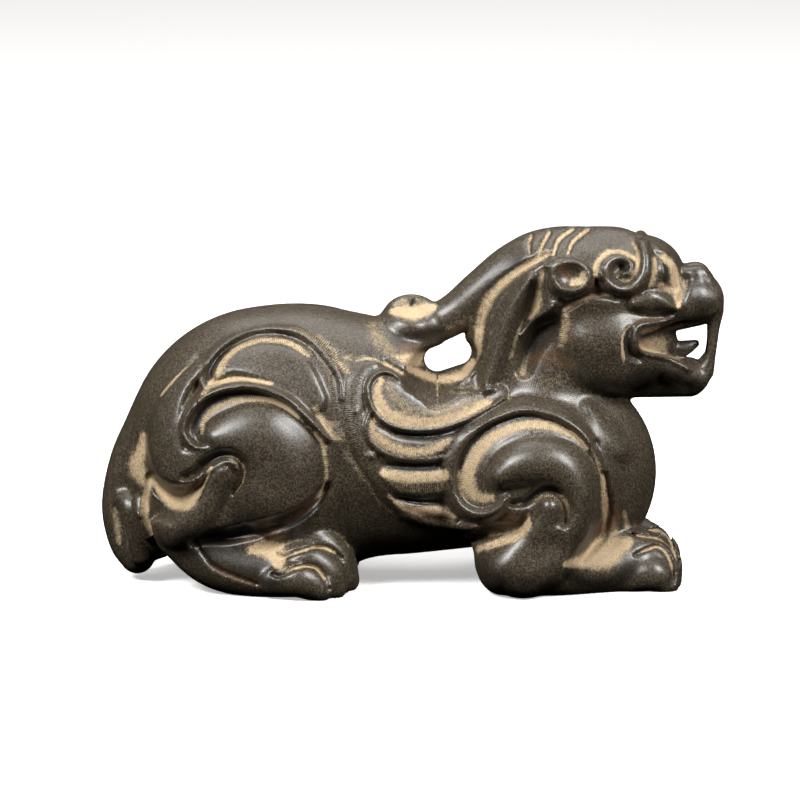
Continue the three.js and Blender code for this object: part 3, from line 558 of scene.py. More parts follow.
@dataclass(frozen=True)
class Neck:
    """The neck and the nape: the muscle, the band of cut earth behind it, and the jaw's hollow."""

    throat: Limb = Limb(((25, 0, 31, 14), (28.5, 0, 43, 11.6), (33, 0, 53, 11.6)), 1.15)
    nape: Limb = Limb(((26, 0, 62, 8.5), (21, 0, 55.5, 8.5), (19, 0, 48, 8.5), (17, 0, 40, 9)))
    relief: tuple[Stroke, ...] = (
        Stroke(
            ((27, 64.6, 0.9), (20.6, 61.2, 1.3), (16.4, 57.4, 1.5), (14, 53, 1.5), (13, 48, 1.3)),
            1.1,
            Edge.GROOVE,
        ),
        Stroke(
            ((23.4, 60, 1.6), (20.9, 56, 2.6), (18.9, 51.4, 2.9), (16.9, 45.3, 2.8), (14.9, 39.1, 2.2)),
            1.9,
            Edge.SOFT,
        ),
        Stroke(((26.2, 61, 1), (25.2, 57, 1.5), (24, 53.6, 1.2), (21.6, 50, 0.7)), 0.9, Edge.GROOVE),
        Stroke(((28.6, 51.6, 1.8), (25.9, 49.4, 2.8), (23.6, 46, 2.6), (22.4, 42, 1.8)), 2.3, Edge.GROOVE),
        Stroke(((28, 54.6, 1), (26, 53.1, 0.9), (24, 51.7, 0.8), (21.6, 48.6, 0.5)), 1.1, Edge.SOFT),
        Stroke(
            ((15.4, 49.4, 0.4), (14.9, 46.2, 0.5), (13.7, 43.6, 0.5), (11.9, 41.2, 0.5), (9.6, 39.4, 0.4)),
            0.8,
        ),
    )
    # The dark stains here are painted shade under the crest's edge and in the hollow behind the jaw.
    stains: tuple[Stain, ...] = (
        Stain(
            ((27, 65.2, 0.7), (23.4, 63, 0.9), (20.3, 61.1, 1), (17, 58.4, 1.1), (14.9, 55.6, 1.2)),
            0.9,
            0.8,
        ),
        Stain(
            ((14.9, 55.6, 1.2), (13.6, 52, 1.1), (13.2, 48.7, 1), (12.8, 45.4, 0.9), (11.4, 42.6, 0.9)),
            0.95,
            0.35,
        ),
        Stain(((22.1, 64.3, 0.5), (18.1, 61.4, 0.6), (13.6, 57.6, 0.6)), 0.8, 0.3, Tone.DARK),
        Stain(((25.8, 61.4, 0.5), (25, 58, 0.6), (25.1, 54.9, 1), (23.6, 52.4, 0.6)), 0.7, 0.3),
        Stain(((22.6, 53, 0.3), (21, 49, 0.4), (19.6, 44.2, 0.4)), 0.5),
        Stain(((28, 51, 1.4), (25.8, 49, 2.2), (23.8, 46.6, 2)), 0.9, 0, Tone.DARK),
        Stain(((24, 44.2, 1.2), (28, 44.6, 1.4), (32, 43, 1)), 0.5, 0, Tone.RUST),
        Stain(((30.6, 52.4, 0.9), (30.2, 49.4, 1.1), (29.6, 46.9, 0.7)), 0.75, 0.7),
        Stain(((31.4, 50.4, 0.9), (30.8, 47.6, 0.9)), 0.5, 0.5, Tone.RUST),
        Stain(((21, 40.6, 1.4), (26, 39.4, 1.6), (31, 39.8, 1.2)), 0.3, 0.4),
    )

    def carve(self, block: Block) -> None:
        """Joins the neck to the body."""
        block.join(self.throat, 3)
        block.join(self.nape, 2)


@dataclass(frozen=True)
class Mouth:
    """The open mouth: the recess at each side, the way through, the tongue, lips and fangs."""

    recess: Passage = Passage(
        ((47.4, 49.2, 1.9), (51, 49.3, 2.8), (54.6, 49.8, 3.6), (57.2, 50, 3.3)), 0.05, 4.2
    )
    front: Passage = Passage(((55.4, 49.3, 2.8), (58, 49.5, 2.1)), 0.05, 2.4)
    through: Passage = Passage(((55.2, 47.9, 1.9), (58.5, 48.5, 1.7)), 0.12)
    tongue: Ellipsoid = Ellipsoid((47.5, 0, 48.6), (5.8, 4.7, 4.8))
    tip: Limb = Limb(((51, 0, 46.6, 1.9), (54.5, 0, 47, 1.6), (57, 0, 48, 0.8)))
    lower_lip: Limb = Limb(
        (
            (45, 6.6, 46.8, 1.8),
            (47.4, 6, 45.5, 2.1),
            (50.7, 5.1, 44.3, 2.2),
            (53.2, 4.6, 43.3, 2.2),
            (55.4, 3.8, 42, 2.1),
            (57.4, 2.4, 41.4, 2.2),
        )
    )
    chin: Limb = Limb(((56, 1.5, 40.8, 3), (58, 2, 42.2, 1.8), (59.2, 2.2, 44.4, 1.1)))
    fang: Limb = Limb(
        (
            (60.8, 2.4, 55, 1.7),
            (60.5, 2.6, 51.6, 1.2),
            (60.3, 2.6, 48.6, 1),
            (59.9, 2.6, 45.6, 1),
            (59.2, 2.4, 42.6, 1.4),
        )
    )

    def carve(self, block: Block) -> None:
        """Opens the mouth and sets its tongue, lips and teeth."""
        block.join(self.lower_lip, 1.2)
        for way in (self.recess, self.front, self.through):
            block.cut(way)
        block.join(self.tongue, 0.8)
        block.join(self.tip, 0.5)
        block.join(self.fang, 0.8)
        block.join(self.chin, 0.8)


@dataclass(frozen=True)
class Head:
    """The head: skull, brow, cheek, jaws, nose and ear, with the scroll of the brow and the eye."""

    skull: Ellipsoid = Ellipsoid((35, 0, 59), (14.5, 12, 12))
    brow: Ellipsoid = Ellipsoid((45.5, 0, 61.8), (9.2, 9.8, 8.2))
    cheek: Limb = Limb(((35.6, 6, 50.2, 7), (40, 5.8, 50.4, 7), (44, 5, 50.8, 6.2)))
    jowl: Limb = Limb(((36.6, 5, 46.6, 7.2), (41, 4.6, 45.8, 7), (45, 4, 45.6, 5.8)))
    muzzle: Limb = Limb(((44, 0, 57, 7.6), (51, 0, 57, 6.6), (56.8, 0, 57.2, 5.6)), 0.85)
    jaw: Limb = Limb(((40, 0, 43, 6), (48, 0, 41.6, 4.5), (55.5, 0, 41.2, 4)), 0.95)
    mouth: Mouth = Mouth()
    nose: Ellipsoid = Ellipsoid((59.4, 2, 57.2), (3.1, 3.4, 3.2))
    bridge: Limb = Limb(((54.8, 2.2, 61.8, 2), (57.2, 2.2, 62.1, 2.1), (58.4, 2, 61, 2)))
    nostril: Ellipsoid = Ellipsoid((54.9, 5.6, 61.9), (1.2, 1.8, 1.3))
    ear: Ellipsoid = Ellipsoid((31.3, 12.2, 63), (5.1, 3.1, 4.2))
    ear_tip: Limb = Limb(((29.4, 12.4, 65.4, 2), (26.6, 12.6, 65.4, 0.7)))
    ear_hollow: Ellipsoid = Ellipsoid((31.5, 15.6, 64.1), (3.5, 3, 2.9))
    relief: tuple[Stroke, ...] = (
        Stroke(
            (
                (46, 67.2, 1.5),
                (46.6, 64, 1.5),
                (46.2, 60.8, 1.6),
                (44.2, 58.2, 1.6),
                (41.4, 57.8, 1.5),
                (38.9, 59.2, 1.6),
                (38.2, 61.8, 1.7),
                (39.6, 63.8, 1.4),
                (41.9, 64.2, 1.1),
                (43.6, 63, 1),
                (43.4, 61.2, 0.9),
                (42, 60.9, 0.7),
            ),
            1.9,
        ),
        Stroke(((40.2, 61.2, 0.5), (41.8, 62.3, 0.6)), 0.8, Edge.GROOVE),
        Stroke(((29.4, 53.4, 0.8), (33.7, 56.1, 0.9), (37.5, 57, 0.9), (41, 56.2, 0.7)), 1, Edge.GROOVE),
        Stroke(((49.6, 64, 0.8), (51, 61.5, 2), (51.8, 58.6, 2), (53, 56, 1.1)), 0.9, Edge.HOLLOW),
        Stroke(((49.8, 63.3, 0.4), (50.1, 61.4, 0.9), (50.9, 59.6, 0.5)), 0.9),
        Stroke(((44.4, 55, 1.4), (47.4, 55.3, 2.4), (50, 55.2, 1.9), (52.4, 54.2, 0.6)), 1.5),
        Stroke(((44.2, 52.1, 0.5), (48, 52.2, 0.6), (51.8, 52.8, 0.5)), 0.9, Edge.GROOVE),
        Stroke(
            (
                (53.7, 54.8, 0.4),
                (53.1, 53.2, 0.5),
                (51.6, 51.9, 0.6),
                (48.4, 51.3, 0.6),
                (45.6, 50.9, 0.6),
                (44.4, 49.6, 0.5),
                (44.4, 47.6, 0.5),
                (45.4, 45.7, 0.5),
                (48, 44.9, 0.5),
                (51, 44.2, 0.5),
                (53.4, 43.2, 0.6),
                (55.4, 42, 0.6),
            ),
            0.9,
        ),
        Stroke(((43.4, 49.9, 0.7), (42.9, 47.6, 1), (43.6, 45, 0.9), (45.4, 43.9, 0.5)), 0.9, Edge.GROOVE),
        Stroke(((53.4, 62.6, 0.6), (54.4, 59, 1.1), (53.8, 55.8, 0.8)), 0.8, Edge.GROOVE),
        Stroke(((57.2, 62.4, 0.4), (58.2, 61, 0.5), (59.4, 59.3, 0.4)), 0.7, Edge.GROOVE),
        Stroke(((48.6, 66.2, 1.3), (50.6, 65.4, 1.3)), 0.7, Edge.SOFT),
        Stroke(((59.2, 52.6, 0.4), (60.6, 53.4, 0.5), (61.8, 54.4, 0.4)), 0.5, Edge.SOFT),
    )
    # The dark stains here are painted shade: in the scroll's hollow and under it, behind the mouth's corner, in the
    # mouth, the nostril, under the jaw and under the ear; they also darken the eye and the nose.
    stains: tuple[Stain, ...] = (
        Stain(
            ((36.4, 60.6, 0.5), (37, 63.4, 0.6), (39.2, 65.2, 0.6), (41.8, 65.3, 0.5), (44.2, 64, 0.5)),
            0.85,
        ),
        Stain(((44, 67.3, 0.4), (44.9, 65.6, 0.4), (45, 63.6, 0.5), (44.6, 62, 0.4)), 0.7),
        Stain(((42.1, 60.3, 0.4), (43.4, 60.3, 0.5), (44.4, 61.7, 0.4)), 0.8),
        Stain(((41.6, 62.4, 0.5), (42.4, 61.6, 0.5)), 0.9, 0, Tone.DARK),
        Stain(((40, 57.9, 0.7), (42.6, 57.2, 0.7)), 0.7, 0, Tone.DARK),
        Stain(((44.6, 57.4, 0.4), (44, 55.9, 0.5)), 0.7, 0, Tone.RUST),
        Stain(
            ((30.4, 54, 0.5), (33.6, 55.6, 0.6), (37, 56.7, 0.6), (39.6, 57, 0.4)), 0.7, 0.7
        ),
        Stain(((31, 54.4, 0.6), (35.6, 56.8, 0.8), (36.4, 59.4, 0.8)), 0.6, 0.5, Tone.RUST),
        Stain(((48.2, 64, 0.5), (48.2, 61, 0.6), (47.4, 58.6, 0.4)), 0.8),
        Stain(((50.2, 64.4, 0.8), (52.2, 62.2, 1), (52.6, 59.6, 1.3), (53, 57, 1), (53.1, 54.6, 0.5)), 0.95),
        Stain(((54.4, 59.4, 0.9), (54.6, 58, 0.8)), 0.6, 0.6),
        Stain(((49.6, 58.6, 0.9), (51.6, 58, 0.9)), 0.7),
        Stain(((50, 62.6, 0.4), (50.6, 60.2, 0.5)), 1, 0, Tone.DARK),
        Stain(((44.5, 51.9, 0.3), (47.4, 52, 0.3), (50.2, 52.2, 0.3)), 0.7, 0, Tone.RUST),
        Stain(((43.3, 50.6, 0.2), (42.1, 49, 0.3), (41.8, 46.6, 0.3), (42.2, 43.6, 0.4)), 0.9),
        Stain(((43.4, 49.4, 0.6), (42.9, 47.4, 0.8), (43.6, 45.2, 0.7)), 1, 0, Tone.DARK),
        Stain(
            ((46.2, 47.2, 1), (48.4, 47, 1.6), (50.4, 46.9, 1.8), (52, 46, 1.5), (55, 44.6, 0.8), (58.8, 44.8, 0.6)),
            1,
        ),
        Stain(((47, 49.4, 0.6), (50, 50, 0.7), (54.4, 50.8, 0.9)), 0.8, 0, Tone.RUST),
        Stain(((56.4, 46.7, 0.8), (57.2, 46.7, 0.6)), 0.9),
        Stain(((54.6, 47.8, 1), (55.4, 48.6, 0.9)), 1, 0, Tone.DARK),
        Stain(((57, 60.6, 1.6), (57.6, 57, 2), (58, 53.6, 1.6)), 0.6, 0, Tone.DARK),
        Stain(((54.9, 60.9, 0.8), (55.2, 59.8, 0.8)), 1, 0, Tone.DARK),
        Stain(((46, 40.6, 2.4), (52, 39.8, 2.4), (57, 38.8, 1.6)), 0.8, 0, Tone.DARK),
        Stain(((30.2, 62, 1), (30.4, 60.6, 1)), 0.7, 0, Tone.RUST),
        Stain(((32, 59.2, 0.8), (33.6, 59.6, 0.9), (34, 61, 0.6)), 0.9, 0.3),
        Stain(((28.4, 57.4, 0.6), (31.6, 56.2, 0.7), (34.6, 57, 0.5)), 0.9, 0, Tone.DARK),
    )

    def carve(self, block: Block) -> None:
        """Joins the forms of the head, and cuts the mouth, the nostril and the ear."""
        block.join(self.skull, 3)
        for form in (self.brow, self.cheek, self.jowl, self.muzzle, self.jaw):
            block.join(form, 1.6)
        self.mouth.carve(block)
        block.join(self.nose, 0.8)
        block.join(self.bridge, 0.8)
        block.cut(self.nostril)
        block.join(self.ear, 0.5)
        block.join(self.ear_tip, 0.8)
        block.cut(self.ear_hollow, 0.4)


@dataclass(frozen=True)
class Crest:
    """The crest of hair: it leaves the neck, bridges to the back and ends in a hollow curl."""

    loop: Passage = Passage(((5, 44.9, 2.5), (9.2, 46.4, 2.6)), 0.3, -REACH, 16)
    lock: Limb = Limb(
        (
            (44.5, 0, 65.8, 4),
            (41, 0, 66.9, 4.6),
            (35, 0, 66.9, 4.7),
            (28, 0, 66.6, 4.8),
            (21, 0, 63.6, 5),
            (14.5, 0, 58.6, 4.7),
            (8.5, 0, 54, 4.1),
            (2.5, 0, 51.2, 3.9),
            (-3, 0, 50.2, 3.8),
        ),
        0.95,
    )
    cup: Ellipsoid = Ellipsoid((-0.6, 0, 51.7), (6.6, 6.9, 4.3))
    web: Ellipsoid = Ellipsoid((-0.2, 0, 53.2), (5.9, 2.2, 4.8))
    dish: Ellipsoid = Ellipsoid((0.2, 5.4, 56.8), (4.8, 4.3, 3.4))
    relief: tuple[Stroke, ...] = (
        Stroke(((35.2, 70, 0.7), (32.1, 67.4, 0.7), (31, 65, 0.5)), 0.45, Edge.GROOVE),
        Stroke(((32.1, 70, 0.7), (29.2, 67.7, 0.7), (28.1, 64.6, 0.5)), 0.45, Edge.GROOVE),
        Stroke(((27.4, 69.4, 0.7), (26.1, 67, 0.7), (25, 64.6, 0.5)), 0.45, Edge.GROOVE),
        Stroke(((23.9, 68.7, 0.6), (23.2, 67, 0.6), (23.4, 65.2, 0.4)), 0.4, Edge.GROOVE),
        Stroke(((0.6, 57, 0.3), (0.2, 55.6, 0.5), (-0.4, 54.4, 0.4)), 0.5, Edge.GROOVE),
    )
    # The dark stains here are painted shade in the bottom of the curl's hollow and under the curl.
    stains: tuple[Stain, ...] = (
        Stain(((35.2, 70, 0.4), (32.1, 67.4, 0.4), (31, 65, 0.3)), 0.8),
        Stain(((32.1, 70, 0.4), (29.2, 67.7, 0.4), (28.1, 64.6, 0.3)), 0.8),
        Stain(((27.4, 69.4, 0.4), (26.1, 67, 0.4), (25, 64.6, 0.3)), 0.7),
        Stain(((23.9, 68.7, 0.3), (23.2, 67, 0.4), (23.4, 65.2, 0.3)), 0.6),
        Stain(((-4, 53.6, 0.7), (-2, 53.6, 1.3), (0.6, 53.6, 1.8), (3, 54.2, 1.3), (4.4, 54.6, 0.6)), 1),
        Stain(((-3.4, 55, 0.7), (-0.6, 56, 0.9), (2.6, 55.8, 0.7)), 0.7),
        Stain(((0.5, 56.4, 0.3), (-0.2, 54.8, 0.3)), 1, 0, Tone.DARK),
        Stain(((-8, 50.4, 1.4), (-6.4, 47.6, 1.8), (-3.8, 45, 1.4)), 0.5, 0.2),
        Stain(((-2.6, 44.4, 0.8), (0, 44, 1.6), (2.2, 44.6, 1.2)), 0.8, 0),
        Stain(((-2, 46, 0.9), (1, 46.4, 1)), 0.6, 0, Tone.RUST),
        Stain(((-0.6, 42.2, 0.7), (3.4, 40.6, 0.8), (7, 40.2, 0.9), (10, 41, 0.9), (11.9, 43.4, 0.9)), 1),
        Stain(((7, 50.4, 0.8), (9.6, 51, 1), (11.8, 52.4, 0.9)), 0.45, 0.4),
        Stain(((8.6, 49.4, 0.7), (11, 49.6, 0.8)), 0.6, 0, Tone.RUST),
        Stain(((-3, 48.4, 1), (1, 48.8, 1.2), (5.4, 49.6, 1)), 0.7, 0, Tone.DARK),
    )

    def carve(self, block: Block) -> None:
        """Opens the loop and joins the lock, its curl and the hollow in the curl."""
        block.cut(self.loop, 1)
        block.join(self.lock, 1)
        block.join(self.cup, 1.6)
        block.join(self.web, 0.8)
        block.cut(self.dish, 0.5)


@dataclass(frozen=True)
class HindLeg:
    """The folded hind leg: shank, foot and four toes."""

    shank: Limb = Limb(
        ((-31, 15, 21, 6), (-39, 15, 17, 6), (-44.4, 14, 13.4, 5.4), (-47, 13, 12, 4.4))
    )
    foot: Limb = Limb(
        (
            (-46.2, 12.4, 11.4, 4.4),
            (-43, 12.8, 8.8, 5.4),
            (-38, 13.6, 6.4, 6),
            (-30, 15.2, 4.6, 5.6),
            (-23, 16, 4.2, 5),
        )
    )
    toes: tuple[Limb, ...] = (
        Limb(((-28, 19.4, 3.6, 3), (-23, 20.9, 4.2, 3.6), (-18.6, 20.4, 2.4, 3))),
        Limb(
            ((-28, 17, 6.4, 2.8), (-22, 18, 7.8, 3.4), (-17.4, 17.8, 5.2, 3.4), (-15.8, 17.6, 2, 2.8))
        ),
        Limb(
            (
                (-27, 13.6, 9.4, 3),
                (-20.6, 14.2, 10.8, 3.6),
                (-16.2, 14.2, 7.8, 3.6),
                (-14.4, 14, 3, 3.2),
            )
        ),
        Limb(
            (
                (-25, 10.8, 8.6, 2.8),
                (-19, 10.8, 9.4, 3.2),
                (-14.8, 10.8, 6.4, 3.2),
                (-13.4, 10.8, 2, 2.8),
            )
        ),
    )
    lines: tuple[Stroke, ...] = (
        Stroke(
            (
                (-27, 5.4, 0.4),
                (-25.6, 4.8, 0.5),
                (-22.8, 5.8, 0.6),
                (-18.8, 6.8, 0.6),
                (-16.2, 6.2, 0.6),
                (-14.2, 4.4, 0.6),
            ),
            0.8,
            Edge.GROOVE,
        ),
        Stroke(
            (
                (-28, 1.6, 0.4),
                (-26.4, 1.2, 0.5),
                (-22.8, 2.8, 0.6),
                (-19.8, 3, 0.6),
                (-18, 1.6, 0.6),
                (-16.8, -1.4, 0.6),
            ),
            0.8,
            Edge.GROOVE,
        ),
        Stroke(
            (
                (-43.6, 8.2, 0.4),
                (-41.7, 5.3, 0.6),
                (-39.6, 2.9, 0.6),
                (-35, 0.9, 0.6),
                (-30.6, -0.6, 0.4),
            ),
            0.6,
            Edge.GROOVE,
        ),
    )
    # The dark stain here is painted shade on the foot, under the overhanging thigh.
    stains: tuple[Stain, ...] = (
        Stain(((-32.4, 6, 1), (-30, 6.6, 2), (-27.6, 6, 2.2), (-26.8, 3.6, 1.4)), 1, 0.4),
        Stain(((-32.6, 8.4, 0.9), (-29, 9.6, 1.1), (-25.6, 9.4, 0.9)), 0.7, 0.2, Tone.RUST),
        Stain(((-43, 7.4, 0.5), (-41.7, 5.3, 0.5), (-39.6, 2.9, 0.4)), 0.4, 0.3),
        Stain(((-39.6, 2.6, 0.6), (-35, 0.8, 0.6), (-30.6, -0.4, 0.5)), 0.6, 0, Tone.RUST),
        Stain(((-26.4, 4.9, 0.3), (-22.8, 5.9, 0.35), (-18.8, 6.9, 0.35), (-15.6, 5.8, 0.3)), 0.75),
        Stain(((-27.4, 1.5, 0.3), (-22.8, 2.9, 0.35), (-19.6, 3, 0.35), (-17.6, 0.6, 0.3)), 0.75),
        Stain(
            ((-45, 8, 2.4), (-42, 6, 3), (-38, 5.4, 3.4), (-34.6, 3.6, 2.6), (-28, 0.4, 2)),
            0.9,
            0,
            Tone.DARK,
        ),
    )

    def carve(self, block: Block) -> None:
        """Joins the leg to the haunch, and its toes to the foot."""
        block.join(self.shank, 1.5)
        block.join(self.foot, 2)
        for toe in self.toes:
            block.join(toe, 0.5)


@dataclass(frozen=True)
class Foreleg:
    """The folded foreleg: forearm, wrist and four toes."""

    forearm: Limb = Limb(
        ((19.6, 14, 6.8, 7.2), (28, 13.4, 5.4, 6.6), (37, 10.6, 4.4, 5.8), (44, 8.6, 4, 5.4))
    )
    wrist: Ellipsoid = Ellipsoid((43.8, 7.2, 4.6), (8, 6.8, 7.2))
    toes: tuple[Limb, ...] = (
        Limb(((44, 11.4, 2.6, 3.2), (48, 11.8, 3.4, 3.5), (50.8, 11.2, 1.4, 2.8))),
        Limb(((44, 9, 7, 3), (48.4, 8.8, 6.6, 3), (51.3, 8.4, 4.4, 2.8), (51.8, 8.2, 1.4, 2.4))),
        Limb(((44, 5.6, 8.4, 3), (48.4, 5.4, 7.4, 3), (51.6, 5.2, 4.8, 2.6), (52, 5.2, 1.6, 2.3))),
        Limb(((43.5, 2.4, 8, 2.8), (47.6, 2.4, 6.8, 2.8), (50.6, 2.3, 4.2, 2.5), (51, 2.2, 1.6, 2.2))),
    )
    lines: tuple[Stroke, ...] = (
        Stroke(
            ((44, 9.2, 0.4), (46.6, 8.6, 0.5), (49.4, 8.2, 0.6), (51.8, 6.8, 0.6), (53.4, 3.4, 0.5)),
            0.8,
            Edge.GROOVE,
        ),
        Stroke(
            (
                (44.4, 5, 0.4),
                (46.6, 6, 0.5),
                (49.2, 6.6, 0.6),
                (51.2, 4.9, 0.6),
                (52.2, 2.4, 0.6),
                (52.2, -0.4, 0.5),
            ),
            0.8,
            Edge.GROOVE,
        ),
    )
    relief: tuple[Stroke, ...] = (
        Stroke(((44, 13.4, 0.9), (44.3, 11, 1.2), (45.4, 8.8, 0.7)), 0.8, Edge.SOFT),
    )
    # The dark stains here are painted shade under the paw and the forearm.
    stains: tuple[Stain, ...] = (
        Stain(((30.4, 3.4, 0.7), (34, 4, 1.5), (38, 4.8, 2.6), (40.8, 6.4, 2.2), (43.4, 7.8, 1)), 1, 0.2),
        Stain(((38.2, 17, 0.6), (38.8, 13.6, 1), (39.6, 10.6, 1.6)), 0.8, 0.2),
        Stain(((38.8, 15.4, 1), (40.2, 12.4, 1.5), (37.6, 10.6, 1)), 0.8, 0, Tone.RUST),
        Stain(((42.6, 13.6, 0.6), (43, 11, 0.7)), 0.6),
        Stain(((45, 9, 0.3), (49.4, 8.3, 0.35), (51.8, 6.9, 0.35), (53.2, 4, 0.3)), 0.75),
        Stain(((46, 5.8, 0.3), (49.2, 6.7, 0.35), (51.2, 5, 0.35), (52.1, 2.4, 0.3)), 0.75),
        Stain(((31, 1.2, 1), (36, -0.6, 1.1), (41, 0, 1.2), (43.6, 2.4, 1.8)), 0.9, 0, Tone.DARK),
        Stain(((15, 2, 2.6), (20, -0.6, 2.4), (27, -1, 2)), 0.6, 0, Tone.DARK),
    )

    def carve(self, block: Block) -> None:
        """Joins the leg to the shoulder, and its toes to the wrist."""
        block.join(self.forearm, 2)
        block.join(self.wrist, 1.5)
        for toe in self.toes:
            block.join(toe, 0.5)


@dataclass(frozen=True)
class Tail:
    """The tail, which hangs down the rump, with two lobes at each side of its end."""

    stem: Limb = Limb(
        (
            (-46, 0, 42, 2.6),
            (-52.3, 0, 35.2, 3),
            (-56.4, 0, 27.8, 3.3),
            (-58.7, 0, 20.5, 3.3),
            (-59.4, 0, 14, 3.3),
            (-57.9, 0, 7.8, 3.4),
            (-55.6, 0, 4.8, 3.6),
        ),
        0.7,
    )
    lobes: tuple[Limb, ...] = (
        Limb(((-58, 4, 17.4, 2), (-56.6, 6.2, 15.4, 2.2), (-55.6, 6.4, 10, 1.8), (-54.6, 5, 6, 2.2))),
        Limb(((-54.6, 8, 17.4, 1.6), (-53.8, 9.6, 14.6, 1.7), (-53.2, 9, 11, 1.3))),
    )
    stains: tuple[Stain, ...] = (
        Stain(((-60.1, 14.1, 0.6), (-59.3, 10.5, 0.8), (-59.2, 7.2, 0.6)), 0.9),
        Stain(((-52.4, 20.7, 0.7), (-53.4, 16.9, 0.9), (-53.7, 13, 0.8), (-52.4, 9.2, 0.5)), 0.9, 0.3),
        Stain(((-54, 29, 0.7), (-54.2, 26.4, 1.1), (-55.4, 22.6, 1.9), (-53.4, 19.6, 1.3)), 0.85, 0.2),
    )

    def carve(self, block: Block) -> None:
        """Joins the tail to the rump."""
        block.join(self.stem, 1.5)
        for lobe in self.lobes:
            block.join(lobe, 0.6)


